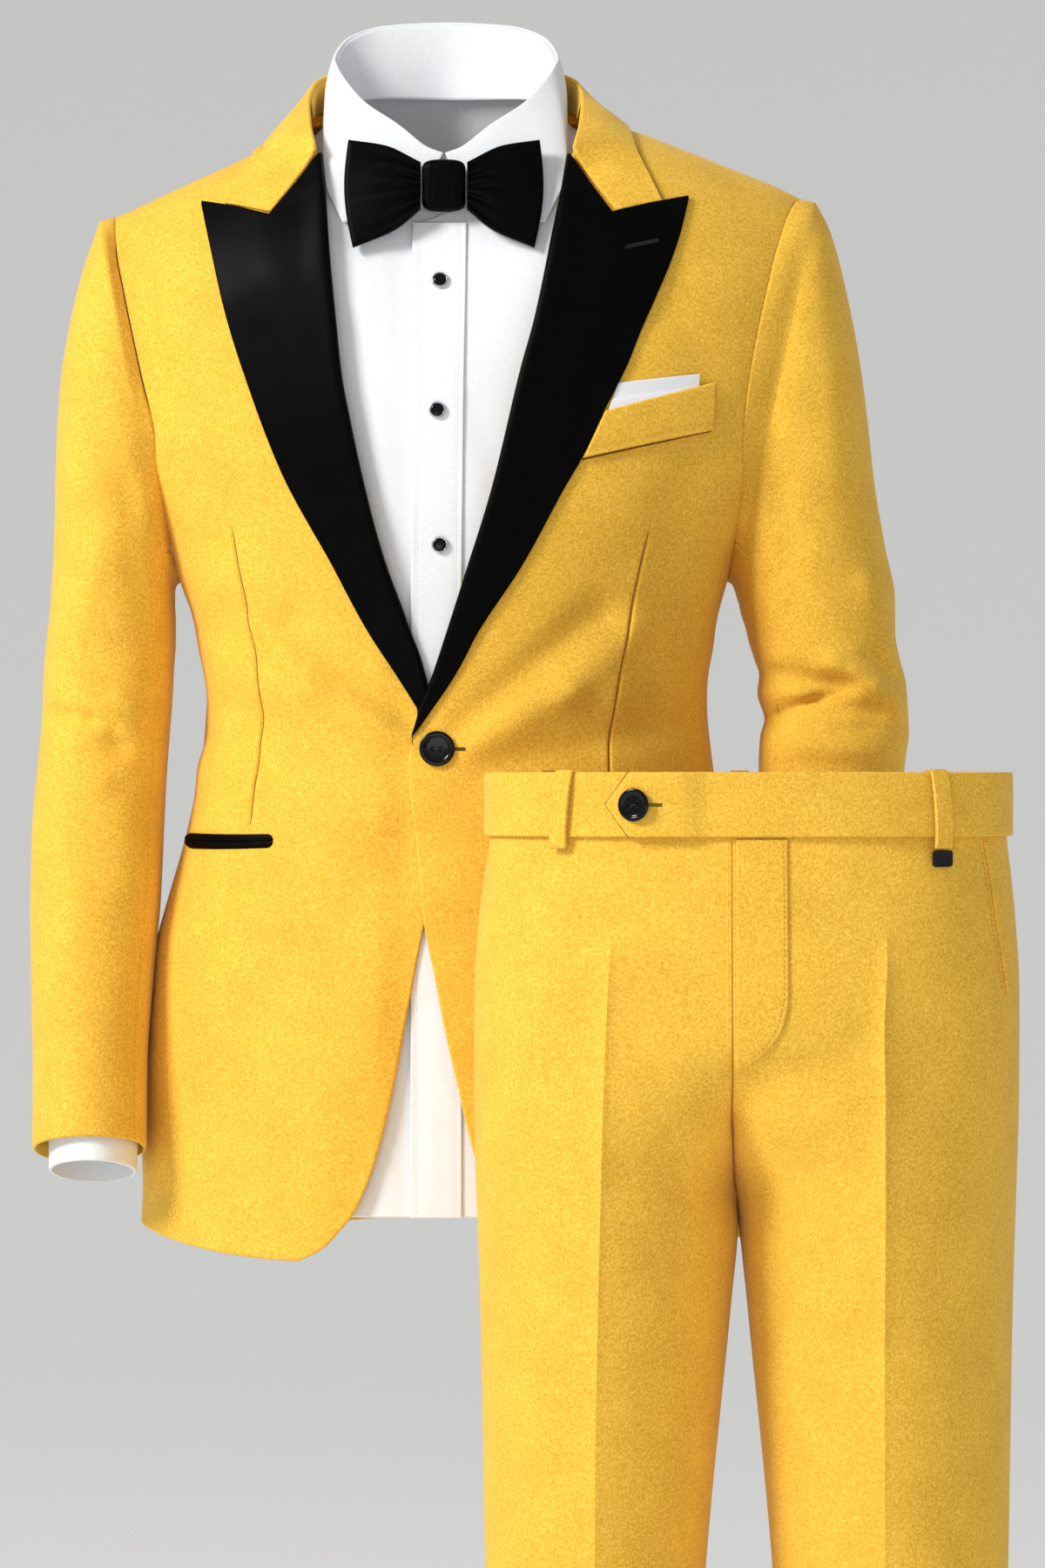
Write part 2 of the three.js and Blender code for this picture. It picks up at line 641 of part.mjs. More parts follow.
const FALL_LIFT = 1.2;
const FALL_COLUMNS = 4;
const FALL_BULGE = 3;
const FIRST_STAND_STATION = 5;
const STAND_WALL = 1.2;
const STAND_TUCK = { inward: 1.2, down: 4, widthAt: 40 };
const UP_FROM_NECK = 120;

function collarRow(station) {
  const steps = COLLAR.length - 1;
  const mirrored = station > steps;
  const row = COLLAR[mirrored ? 2 * steps - station : station];
  const sign = mirrored ? 1 : -1;
  return (name) => {
    const x = sign * row[`${name}X`];
    const y = row[`${name}Y`];
    const z = row[`${name}Z`];
    if (z === null) return restingOn(x, y, FALL_LIFT + WOOL);
    return y === null ? onFront(x, z, FALL_LIFT + WOOL) : vector(x, y, z);
  };
}

const COLLAR_STATIONS = 2 * (COLLAR.length - 1);
const fall = grid(COLLAR_STATIONS, FALL_COLUMNS, (i, j) => {
  const place = collarRow(i);
  const s = j / FALL_COLUMNS;
  const point = place('fold').lerp(place('edge'), s);
  return point.add(vector(0, 0, FALL_BULGE * Math.sin(Math.PI * s)));
});
const fallNormals = normalsOf(fall, false, (p) => vector(p.x, p.y, UP_FROM_NECK));
addWall('jacket_collar_fall', fall, moved(fall, fallNormals, -WOOL), CLOTH);

const standStations = COLLAR_STATIONS - 2 * FIRST_STAND_STATION;
const stand = grid(standStations, 2, (i, j) => {
  const place = collarRow(i + FIRST_STAND_STATION);
  const fold = place('fold');
  const sideways = Math.sign(fold.x) * clamp(Math.abs(fold.x) / STAND_TUCK.widthAt);
  const inward = vector(-sideways, -Math.sign(fold.y), 0).multiplyScalar(STAND_TUCK.inward);
  return fold.add(inward).setZ(fold.z - STAND_TUCK.down).lerp(place('foot'), j / 2);
});
const standNormals = normalsOf(stand, false, (p) => vector(p.x, p.y, 0));
addWall('jacket_collar_stand', stand, moved(stand, standNormals, -STAND_WALL), CLOTH);

// What is sewn on the fronts: hip pocket besoms, breast welt and the square in it
function strip(columns, rows, corners, lift, crowding = 1) {
  const [a, b, c, d] = corners;
  return grid(rows, columns, (i, j) => {
    const s = (j / columns) ** crowding;
    const t = i / rows;
    const x = mix(mix(a[0], b[0], s), mix(d[0], c[0], s), t);
    const z = mix(mix(a[1], b[1], s), mix(d[1], c[1], s), t);
    return { x, z, lift };
  });
}

const BESOM = { upper: [-483.8, -488.6], lower: [-488.7, -493.5], endX: [-176, -113.5], height: 4.6 };
const BESOM_LIFT = 0.5;
const BESOM_WALL = 2.4;
const BESOM_CROWDING = 2;
for (const part of ['upper', 'lower']) {
  const [outerX, innerX] = BESOM.endX;
  const [outerZ, innerZ] = BESOM[part];
  const corners = [
    [outerX, outerZ], [innerX, innerZ], [innerX, innerZ - BESOM.height], [outerX, outerZ - BESOM.height],
  ];
  addOnFront(`hip_besom_${part}`, strip(10, 1, corners, BESOM_LIFT, BESOM_CROWDING), BESOM_WALL, SATIN);
}

const SQUARE = {
  corners: [[119.5, -182], [171.7, -174.2], [170, -196], [126, -207]],
  lift: 0.5,
  wall: 1.2,
};
const WELT = {
  corners: [[111, -200.2], [181.2, -180.3], [180.1, -212.3], [98.5, -231.6]],
  lift: 2.1,
  wall: 1.8,
};
addOnFront('pocket_square', strip(5, 3, SQUARE.corners, SQUARE.lift), SQUARE.wall, LINEN);
addOnFront('breast_welt', strip(6, 3, WELT.corners, WELT.lift), WELT.wall, CLOTH);

// Buttons and studs turn round their own axis, which points away from the cloth
function addRound(name, profile, segments, finish, centre, direction) {
  const points = profile.map(([radius, height]) => new THREE.Vector2(radius, height));
  const geometry = new THREE.LatheGeometry(points, segments);
  geometry.deleteAttribute('uv');
  geometry.deleteAttribute('normal');
  addMesh(name, geometry, finish, (mesh) => {
    mesh.position.copy(centre);
    mesh.quaternion.setFromUnitVectors(vector(0, 1, 0), direction.clone().normalize());
  });
}

const buttonProfile = (radius) => [
  [0, 0], [radius * 0.72, 0], [radius * 0.95, 1.1], [radius, 2.0],
  [radius * 0.93, 2.8], [radius * 0.76, 2.9], [radius * 0.64, 2.2], [0, 2.0],
];

const BUTTON_AT = { x: -4, z: -426.5, lift: 0.7 };
const BUTTON_SEGMENTS = 18;
const buttonSeat = onFront(BUTTON_AT.x, BUTTON_AT.z, BUTTON_AT.lift);
const buttonFacing = torsoNormal(-1, turnOf(BUTTON_AT.x, BUTTON_AT.z), BUTTON_AT.z);
addRound('jacket_button', buttonProfile(BUTTON_RADIUS), BUTTON_SEGMENTS, GLOSS, buttonSeat, buttonFacing);

// The shirt's body follows the jacket's form from inside, down to its straight tail
const SHIRT_TAIL_Z = -738.5;
const SHIRT_NECK = table(['z', 'x'], [
  [21, 80], [4, 78], [-12, 73], [-28, 64], [-42, 50], [-52, 34], [-58, 16], [-62, 0],
]);

const SHIRT_CLOSING = { z: -62, span: 10, right: 12, left: -21 };
const SHIRT_UNDER = { depth: 2, startX: -40, span: 14 };

function shirtFrontEdge(side, z) {
  const neck = at(SHIRT_NECK, z, 'x');
  if (z > SHIRT_CLOSING.z) return side === 'right' ? -neck : neck;
  return mix(0, SHIRT_CLOSING[side], smooth((SHIRT_CLOSING.z - z) / SHIRT_CLOSING.span));
}

function shirtUnder(side, x) {
  return side === 'right' ? -SHIRT_UNDER.depth * smooth((x - SHIRT_UNDER.startX) / SHIRT_UNDER.span) : 0;
}

const shirtPanels = {};
for (const side of ['right', 'left']) {
  const sign = side === 'right' ? -1 : 1;
  const front = torsoPanel({
    side,
    face: -1,
    columns: BODY_COLUMNS,
    rows: SHIRT_ROWS,
    inner: (z) => shirtFrontEdge(side, z),
    armpit: SHIRT_ARMPIT_Z,
    inset: SHIRT_INSET,
    hem: () => SHIRT_TAIL_Z,
    under: (x) => shirtUnder(side, x),
  });
  const back = torsoPanel({
    side,
    face: 1,
    columns: BODY_COLUMNS,
    rows: SHIRT_ROWS,
    inner: () => JACKET_MID_X + (sign * SEAM) / 2,
    armpit: SHIRT_ARMPIT_Z,
    inset: SHIRT_INSET,
    hem: () => SHIRT_TAIL_Z,
    neck: BACK_NECK.shirt,
  });
  shirtPanels[side] = { front, back };
  addPanel(`shirt_front_${side}`, front, COTTON, LINEN);
  addPanel(`shirt_back_${side}`, back, COTTON, LINEN);
}

// A point that lies on the shirt's front, moved out by a lift
function onShirt(x, z, lift) {
  return onFront(x, z, lift - SHIRT_INSET);
}

// A point on one row of a panel, found by its place across the body and moved out by a lift
function alongRow(panel, row, x, lift) {
  const line = panel.points[row];
  const after = Math.max(1, line.findIndex((point, j) => j > 0 && point.x >= x));
  const [before, next] = [line[after - 1], line[after]];
  const share = (x - before.x) / (next.x - before.x);
  const normal = panel.normals[row][after - 1].clone().lerp(panel.normals[row][after], share);
  return before.clone().lerp(next, share).addScaledVector(normal.normalize(), lift);
}

const PLACKET = { fromX: -20.6, toX: 15, firstRow: 6, lift: 0.4, wall: 1.0 };
const placket = (lift) => grid(SHIRT_ROWS.length - 1 - PLACKET.firstRow, 2, (i, j) => alongRow(
  shirtPanels.left.front, i + PLACKET.firstRow, mix(PLACKET.fromX, PLACKET.toX, j / 2), lift));
addWall('shirt_placket', placket(PLACKET.lift + PLACKET.wall), placket(PLACKET.lift), LINEN);

const STUDS = table(['stud', 'x', 'z'], [[1, -2.5, -111.2], [2, -4.1, -200.5], [3, -2.5, -290.9]]);
const STUD_SEGMENTS = 14;
const studProfile = [
  [0, 0], [4.2, 0], [STUD_RADIUS, 1.2], [STUD_RADIUS, 2], [4.6, 2.7], [3.8, 2.5], [0, 2.9],
];
for (const { stud, x, z } of STUDS) {
  const seat = onShirt(x, z, PLACKET.lift + PLACKET.wall + SEAM);
  const facing = torsoNormal(-1, turnOf(x, z), z);
  addRound(`shirt_stud_${stud}`, studProfile, STUD_SEGMENTS, GLOSS, seat, facing);
}

// The shirt's sleeves run inside the jacket's, and each is gathered into its cuff
const CUFF = table(['side', 'midX', 'midY', 'endZ', 'halfX', 'halfY'], [
  [-1, -237.5, -68, -711.5, 29.5, 40],
  [1, 276, -68, -711.5, 29.5, 40],
]);
const CUFF_LENGTH = 62;
const CUFF_FLARE = 0.06;
const WRIST = { above: 0.9, tuck: -0.3 };
const CUFF_PITCH = THREE.MathUtils.degToRad(15);
const CUFF_SEGMENTS = 16;
const SHIRT_RING_STEP = 2;

function cuffPoint(cuff, angle, up, spread = 0) {
  const down = vector(0, -Math.sin(CUFF_PITCH), -Math.cos(CUFF_PITCH));
  const forward = vector(0, -Math.cos(CUFF_PITCH), Math.sin(CUFF_PITCH));
  const flare = 1 + (CUFF_FLARE * up) / CUFF_LENGTH;
  const point = vector(cuff.midX, cuff.midY, cuff.endZ).addScaledVector(down, -up);
  point.addScaledVector(forward, (cuff.halfY * flare + spread) * Math.sin(angle));
  return point.add(vector(Math.sign(cuff.midX) * (cuff.halfX * flare + spread) * Math.cos(angle), 0, 0));
}

const everySecond = (line) => line.filter((_, j) => j % SHIRT_RING_STEP === 0);
const shirtArmhole = (side) => everySecond(armholeRing(shirtPanels[side].front, shirtPanels[side].back));

function shirtSleeve(side, cuff, loop) {
  const { points, normals } = sleeves[side];
  const around = sleeveAngles(side);
  const inside = moved(points, normals, (k, j) => {
    const under = (1 - Math.cos(around[j])) / 2;
    return -SLEEVE_INSET - ARMHOLE_EASE * under * clamp(1 - (k - 1) / ARMHOLE_EASE_RINGS);
  });
  const lastRing = points.length - 2;
  const rings = [];
  for (let k = 1; k <= lastRing; k += SHIRT_RING_STEP) rings.push(everySecond(inside[k]));
  const first = awayFrom(loop, rings[0]);
  const wristUp = CUFF_LENGTH + WRIST.above;
  const wrist = everySecond(around).map((angle) => cuffPoint(cuff, angle, wristUp, WRIST.tuck));
  return [first, ...rings, wrist];
}

for (const cuff of CUFF) {
  const side = cuff.side < 0 ? 'right' : 'left';
  const loop = shirtArmhole(side);
  const points = shirtSleeve(side, cuff, loop);
  const inner = moved(points, sleeveNormals(side, points, loop), -COTTON);
  addWall(`shirt_sleeve_${side}`, points, inner, LINEN, true);
  const band = (spread) => ring(2, CUFF_SEGMENTS, (i, j) => {
    const angle = (2 * Math.PI * j) / CUFF_SEGMENTS;
    return cuffPoint(cuff, angle, (i / 2) * CUFF_LENGTH, spread);
  });
  addWall(`shirt_cuff_${side}`, band(0), band(-CUFF_WALL), LINEN, true);
}

// The shirt's collar: the stand rises from the neckline to the fold, and the fall spreads down outside it
const SHIRT_COLLAR = table([
  'station', 'foldX', 'foldY', 'foldZ', 'neckZ', 'neckX', 'leafX', 'leafY', 'leafZ',
], [
  [0, 0.8, -72, -25, -61.5, null, 12, null, -47],
  [1, 11, -70.5, -21, -58, null, 38, null, -66],
  [2, 31, -61, -4, -50, null, 68, null, -72],
  [3, 54, -45, 14, -34, null, 80, null, -48],
  [4, 69, -20, 35, -6, null, 85.5, null, -14],
  [5, 73.5, -6, 43.5, 7, null, 87, -24, null],
  [6, 76, 8, 51, 18, null, 87, 0, null],
  [7, 70, 38, 67, null, 68, 74, 41, 32],
  [8, 45, 60, 80, null, 42, 48, 64, 40],
  [9, 0, 66, 83.5, null, 0, 0, 72, 44],
]);
const LEAF_LIFT = 4.2;
const NECK_GAP = 1.4;
const NECK_EASE = 3.0;
const COLLAR_WALL = 1.4;
const SHIRT_COLLAR_STATIONS = 2 * (SHIRT_COLLAR.length - 1);

function shirtCollarRow(station) {
  const steps = SHIRT_COLLAR.length - 1;
  const mirrored = station > steps;
  const row = SHIRT_COLLAR[mirrored ? 2 * steps - station : station];
  const sign = mirrored ? 1 : -1;
  const fold = vector(sign * row.foldX, row.foldY, row.foldZ);
  const onNeck = (face, x, z) => {
    const turn = turnOf(x, z);
    const normal = torsoNormal(face, turn, z);
    const seat = torsoPoint(face, turn, z).addScaledVector(normal, -SHIRT_INSET);
    const inward = vector(-seat.x, -seat.y, 0).normalize().multiplyScalar(NECK_EASE);
    return seat.add(inward).add(vector(0, 0, NECK_GAP));
  };
  const neckX = row.neckX === null ? at(SHIRT_NECK, row.neckZ, 'x') : row.neckX;
  const neckZ = row.neckZ === null ? at(BACK_NECK.shirt, sign * row.neckX, 'z') : row.neckZ;
  const foot = onNeck(row.neckZ === null ? 1 : -1, sign * neckX, neckZ);
  let leaf = vector(sign * row.leafX, row.leafY, row.leafZ);
  if (row.leafY === null) leaf = onShirt(leaf.x, row.leafZ, LEAF_LIFT);
  if (row.leafZ === null) leaf = restingOn(leaf.x, row.leafY, LEAF_LIFT - SHIRT_INSET);
  return { fold, foot, leaf };
}

const outOfNeck = (p) => vector(p.x, p.y, 20);

function addCollarWall(name, points) {
  addWall(name, points, moved(points, normalsOf(points, false, outOfNeck), -COLLAR_WALL), LINEN);
}

const STAND_DROP = 2;
const STAND_COLUMNS = 3;
addCollarWall('shirt_collar_stand', grid(SHIRT_COLLAR_STATIONS, STAND_COLUMNS, (i, j) => {
  const { fold, foot } = shirtCollarRow(i);
  return fold.setZ(fold.z - STAND_DROP).lerp(foot, j / STAND_COLUMNS);
}));

const FOLD_WIDTH = 2.2;
const LEAF_BULGE = 2.2;
const LEAF_COLUMNS = 4;
addCollarWall('shirt_collar_fall', grid(SHIRT_COLLAR_STATIONS, LEAF_COLUMNS, (i, j) => {
  const { fold, leaf } = shirtCollarRow(i);
  const s = j / LEAF_COLUMNS;
  const out = vector(fold.x, fold.y, 0).normalize();
  const point = fold.addScaledVector(out, FOLD_WIDTH).lerp(leaf, s);
  return point.addScaledVector(out, LEAF_BULGE * Math.sin(Math.PI * s));
}));

// The bow tie: two wings that fan out from a knot
const BOW = { topZ: -31, bottomZ: -66, backY: -81.9, lean: 0.25, knotHalf: 15.2, knotDepth: 17 };
const WING = { thin: 4.5, thick: 8, bulge: 4.2, belly: 3, pleat: 2.2, pleats: 4, tuck: 2 };
const WING_GRID = { columns: 6, rows: 8 };
const WING_TOP = table(['s', 'x', 'z'], [[0, 15.6, -32.5], [0.5, 40, -20.6], [1, 64.4, -16.6]]);
const WING_FOOT = table(['s', 'x', 'z'], [[0, 15.6, -65], [0.5, 32.5, -79], [1, 60.8, -91.3]]);

function wingPoint(sign, front, s, t) {
  const bulge = WING.bulge * Math.sin(Math.PI * t) * s ** 2;
  const x = mix(at(WING_TOP, s, 'x'), at(WING_FOOT, s, 'x'), t) + bulge;
  const z = mix(at(WING_TOP, s, 'z'), at(WING_FOOT, s, 'z'), t);
  const back = BOW.backY - WING.tuck + (z - BOW.topZ) * BOW.lean;
  const pleat = WING.pleat * Math.cos(Math.PI * WING.pleats * (t - 0.5)) * (1 - s) ** 1.5;
  const belly = WING.belly * Math.sin(Math.PI * t) * Math.sin(Math.PI * s);
  const thickness = mix(WING.thick, WING.thin, s) + belly + pleat;
  return vector(sign * x, front ? back - thickness : back, z);
}

for (const [side, sign] of [['right', -1], ['left', 1]]) {
  const { rows, columns } = WING_GRID;
  const layer = (front) => grid(rows, columns, (i, j) => wingPoint(sign, front, j / columns, i / rows));
  addWall(`bow_wing_${side}`, layer(true), layer(false), SATIN);
}

const KNOT_BEVEL = 3;
const knotShape = new THREE.Shape();
const knotHalfX = BOW.knotHalf - KNOT_BEVEL;
knotShape.moveTo(-knotHalfX, BOW.bottomZ + KNOT_BEVEL);
knotShape.lineTo(knotHalfX, BOW.bottomZ + KNOT_BEVEL);
knotShape.lineTo(knotHalfX, BOW.topZ - KNOT_BEVEL);
knotShape.lineTo(-knotHalfX, BOW.topZ - KNOT_BEVEL);
knotShape.closePath();
const knot = new THREE.ExtrudeGeometry(knotShape, {
  depth: BOW.knotDepth - 2 * KNOT_BEVEL,
  bevelEnabled: true,
  bevelSize: KNOT_BEVEL,
  bevelThickness: KNOT_BEVEL,
  bevelSegments: 3,
});
addMesh('bow_knot', knot, SATIN, (mesh) => {
  mesh.rotation.x = Math.PI / 2;
  mesh.position.y = BOW.backY - KNOT_BEVEL;
});

// The trousers: one section round the body that parts into two legs, each with a pressed crease
const TROUSER = table(['z', 'right', 'left', 'front', 'back', 'centre', 'gap'], [
  [-430, 31.8, 363, 110, 108, 183, 0.15],
  [WAIST_SEAM_Z, 31.8, 363, 111, 109, 183, 0.15],
  [-506, 28.5, 365.4, 113, 112, 183, 0.15],
  [-540, 24.3, 368.7, 115, 116, 183, 0.15],
  [-580, 21.8, 370.9, 117, 119, 183, 0.15],
  [-650, 21.6, 370.9, 116, 120, 184, 0.15],
  [-700, 22.5, 370, 111, 117, 188, 0.15],
  [CROTCH_Z, 24, 369, 106, 111, 192, 0.8],
  [-784, 25.5, 367.6, 97, 99, 192, 5.2],
  [-951, 28.8, 364.8, 85, 86, 192, 21.2],
  [-1150, 34, 360, 71, 73, 195, 33],
  [LEG_HEM_Z, 40, 352, 60, 62, 197, 39],
]);
const CREASE = table(['z', 'right', 'left', 'height'], [
  [-540, 108, 279, 0], [-560, 107, 279, 2.4], [-600, 105, 277, 4], [-700, 101.5, 278, 4],
  [-951, 98, 280, 2.5], [LEG_HEM_Z, 98, 294, 2],
]);
const BODY_ROUNDNESS = 2.6;
const LEG_FULLNESS = 1.7;
const LEG_POINT = 1.9;
const CREASE_SPREAD = 11;

const PARTING = { z: -605, span: 128 };
const SIDE_LEAN = 1.2;

// How far a level has turned from the body's one section into two legs
function legShare(z) {
  return smooth((PARTING.z - z) / PARTING.span);
}

function trouserX(leg, q, z) {
  const sign = leg === 'right' ? -1 : 1;
  const inner = at(TROUSER, z, 'centre') + sign * at(TROUSER, z, 'gap');
  const outer = at(TROUSER, z, leg);
  return mix((inner + outer) / 2, outer, q);
}

// q runs from -1 at the inner edge of a leg to 1 at its side seam, and past 1 comes back on the other face
function trouserPoint(leg, face, place, z) {
  const folded = place > 1 ? 2 - place : place;
  const q = folded < -1 ? -2 - folded : folded;
  const flip = place > 1 || folded < -1 ? -1 : 1;
  const shown = face * flip;
  const x = trouserX(leg, q, z);
  const half = x < TROUSER_MID_X
    ? TROUSER_MID_X - at(TROUSER, z, 'right') : at(TROUSER, z, 'left') - TROUSER_MID_X;
  const across = Math.min(Math.abs(x - TROUSER_MID_X) / half, 1);
  const depth = at(TROUSER, z, shown < 0 ? 'front' : 'back');
  const body = (1 - across ** BODY_ROUNDNESS) ** (1 / BODY_ROUNDNESS);
  const lobe = (1 - Math.abs(q) ** LEG_FULLNESS) ** (1 / LEG_POINT);
  const crease = at(CREASE, z, 'height') * Math.exp(-Math.abs(x - at(CREASE, z, leg)) / CREASE_SPREAD);
  const reach = depth * mix(body, lobe, legShare(z)) + crease * (1 - q * q);
  return vector(x, TROUSER_MID_Y + shown * reach, z);
}

function trouserNormal(leg, face, q, z) {
  const legOnly = legShare(z) >= 1;
  const inward = q <= -1 && !legOnly ? q : q - 0.02;
  const across = trouserPoint(leg, face, q + 0.02, z).sub(trouserPoint(leg, face, inward, z));
  const up = trouserPoint(leg, face, q, z + 1).sub(trouserPoint(leg, face, q, z - 1));
  const normal = across.cross(up).normalize();
  const sign = leg === 'right' ? -1 : 1;
  if (normal.dot(vector(sign * q * SIDE_LEAN, face, 0)) < 0) normal.negate();
  if (q <= -1 && !legOnly) normal.setX(normal.x * legShare(z)).normalize();
  return normal;
}

function trouserQ(leg, x, z) {
  const middle = trouserX(leg, 0, z);
  return (x - middle) / (trouserX(leg, 1, z) - middle);
}

function onTrouser(leg, x, z, lift) {
  const q = trouserQ(leg, x, z);
  return trouserPoint(leg, -1, q, z).addScaledVector(trouserNormal(leg, -1, q, z), lift);
}

const TROUSER_ROWS = [
  WAIST_SEAM_Z - SEAM, -510, -545, -585, -625, -660, -690, -712, -733, -765, -830, -951,
  -1120, -1300, LEG_HEM_Z,
];
const TROUSER_COLUMNS = 10;

for (const leg of ['right', 'left']) {
  for (const [name, face] of [['front', -1], ['back', 1]]) {
    const place = (j) => -Math.cos((Math.PI * j) / TROUSER_COLUMNS);
    const onSeam = (i, j) => j === TROUSER_COLUMNS || (j === 0 && legShare(TROUSER_ROWS[i]) >= 1);
    const layer = (point) => grid(TROUSER_ROWS.length - 1, TROUSER_COLUMNS, point);
    const outer = layer((i, j) => {
      const point = trouserPoint(leg, face, place(j), TROUSER_ROWS[i]);
      return onSeam(i, j) ? point.setY(TROUSER_MID_Y + (face * SEAM) / 2) : point;
    });
    const normals = layer((i, j) => {
      const normal = trouserNormal(leg, face, place(j), TROUSER_ROWS[i]);
      return onSeam(i, j) ? normal.setY(0).normalize() : normal;
    });
    addWall(`trouser_${name}_${leg}`, outer, moved(outer, normals, -WOOL), CLOTH);
  }
}

// The waistband in two halves from the centre back; the left one ends in a point over the right one
const BAND = { lift: 1.0, wall: 2.8, over: 3.4, tipX: 107.7, fullX: 121.5, tipHalf: 0.4 };
const BAND_LAP = { endX: 140, easeX: 170, easeSpan: 18 };
const waist = (column) => at(TROUSER, WAIST_SEAM_Z, column);
const waistHalf = (onRight) => (onRight ? TROUSER_MID_X - waist('right') : waist('left') - TROUSER_MID_X);

function bandPoint(turn, z, lift) {
  const half = waistHalf(Math.sin(turn) < 0);
  const depth = waist(Math.cos(turn) < 0 ? 'front' : 'back');
  const round = 2 / BODY_ROUNDNESS;
  const x = TROUSER_MID_X + (half + lift) * signedPower(Math.sin(turn), round);
  return vector(x, TROUSER_MID_Y + (depth + lift) * signedPower(Math.cos(turn), round), z);
}

function bandTurn(x) {
  const share = (x - TROUSER_MID_X) / waistHalf(x < TROUSER_MID_X);
  return Math.PI - Math.asin(signedPower(share, BODY_ROUNDNESS / 2));
}

function bandLayer(from, to, columns, lift, shape) {
  return grid(2, columns, (i, j) => {
    const turn = mix(from, to, j / columns);
    const { top, bottom, extra } = shape(bandPoint(turn, 0, 0).x, Math.cos(turn) < 0);
    return bandPoint(turn, mix(top, bottom, i / 2), lift + extra);
  });
}

function addBand(name, from, to, columns, shape) {
  const layer = (lift) => bandLayer(from, to, columns, lift, shape);
  addWall(name, layer(BAND.lift + BAND.wall), layer(BAND.lift), CLOTH);
}

const plainBand = () => ({ top: WAIST_TOP_Z, bottom: WAIST_SEAM_Z, extra: 0 });
const pointedBand = (x, inFront) => {
  if (!inFront || x > BAND_LAP.easeX) return plainBand();
  const closing = clamp((BAND.fullX - x) / (BAND.fullX - BAND.tipX));
  const middle = (WAIST_TOP_Z + WAIST_SEAM_Z) / 2;
  return {
    top: mix(WAIST_TOP_Z, middle + BAND.tipHalf, closing),
    bottom: mix(WAIST_SEAM_Z, middle - BAND.tipHalf, closing),
    extra: BAND.over * smooth((BAND_LAP.easeX - x) / BAND_LAP.easeSpan),
  };
};
const BAND_COLUMNS = { right: 22, left: 32 };
const BACK_SEAM_TURN = 0.0015;
const rightEnd = bandTurn(BAND_LAP.endX) - 2 * Math.PI;
addBand('waistband_right', -BACK_SEAM_TURN, rightEnd, BAND_COLUMNS.right, plainBand);
addBand('waistband_left', BACK_SEAM_TURN, bandTurn(BAND.tipX), BAND_COLUMNS.left, pointedBand);

// The fly's facing, down to its curved end
const FLY_EDGE = table(['z', 'x'], [
  [-484.5, 217.5], [-582, 218], [-600, 214.8], [-614, 206], [-623, 195.5], [-629, 187],
]);
const FLY = { topZ: -484.5, footZ: -629, foldX: 185.5, lift: 1.1, wall: 1.1 };
const FLY_GRID = { rows: 9, columns: 4, crowding: 0.8 };
const flyLayer = (lift) => grid(FLY_GRID.rows, FLY_GRID.columns, (i, j) => {
  const z = mix(FLY.topZ, FLY.footZ, (i / FLY_GRID.rows) ** FLY_GRID.crowding);
  return onTrouser('left', mix(FLY.foldX, at(FLY_EDGE, z, 'x'), j / FLY_GRID.columns), z, lift);
});
addWall('trouser_fly', flyLayer(FLY.lift + FLY.wall), flyLayer(FLY.lift), CLOTH);

// The folded edge of the slanted side pocket, which shows on the wearer's left
const POCKET_EDGE = table(['z', 'x'], [
  [-486.5, 345.5], [-506, 349], [-543, 354.3], [-566, 358.2], [-583, 360.5],
]);
const POCKET = { topZ: -486.5, footZ: -583, width: 3, lift: 0.7, wall: 1, rows: 7 };
const pocketLayer = (lift) => grid(POCKET.rows, 2, (i, j) => {
  const z = mix(POCKET.topZ, POCKET.footZ, i / POCKET.rows);
  return onTrouser('left', at(POCKET_EDGE, z, 'x') - (POCKET.width * j) / 2, z, lift);
});
addWall('trouser_pocket_edge_left', pocketLayer(POCKET.lift + POCKET.wall), pocketLayer(POCKET.lift), CLOTH);

// Belt loops: two in front, two at the sides behind and one at the centre back
const LOOPS = table(['loop', 'topTurn', 'footTurn'], [
  [1, bandTurn(82.5), bandTurn(78.5)],
  [2, bandTurn(309), bandTurn(312)],
  [3, 0.75, 0.75],
  [4, -0.75, -0.75],
  [5, 0, 0],
]);
const LOOP = { half: 6, topZ: -441, footZ: -490.5, rows: 8, wall: 1.6, arch: 2.2, archPower: 0.6, lift: 0.4 };
const LOOP_BASE = BAND.lift + BAND.wall + LOOP.lift;
const SMALL_TURN = 0.03;
for (const { loop, topTurn, footTurn } of LOOPS) {
  const layer = (lift) => grid(LOOP.rows, 2, (i, j) => {
    const t = i / LOOP.rows;
    const turn = mix(topTurn, footTurn, t);
    const arch = LOOP.arch * Math.sin(Math.PI * t) ** LOOP.archPower;
    const point = bandPoint(turn, mix(LOOP.topZ, LOOP.footZ, t), lift + arch);
    const side = bandPoint(turn + SMALL_TURN, 0, 0).sub(bandPoint(turn - SMALL_TURN, 0, 0)).normalize();
    return point.addScaledVector(side, LOOP.half * (j - 1));
  });
  addWall(`belt_loop_${loop}`, layer(LOOP_BASE + LOOP.wall), layer(LOOP_BASE), CLOTH);
}

// A small bare metal tab below the front left loop
const TAB = { x: 313.4, topZ: -491.6, half: 6.2, height: 10.6, wall: 1.2, lift: 3.0 };
const tabLayer = (lift) => grid(2, 2, (i, j) => onTrouser(
  'left', TAB.x + TAB.half * (j - 1), TAB.topZ - (TAB.height * i) / 2, lift));
addWall('loop_metal_tab', tabLayer(TAB.lift + TAB.wall), tabLayer(TAB.lift), STEEL);

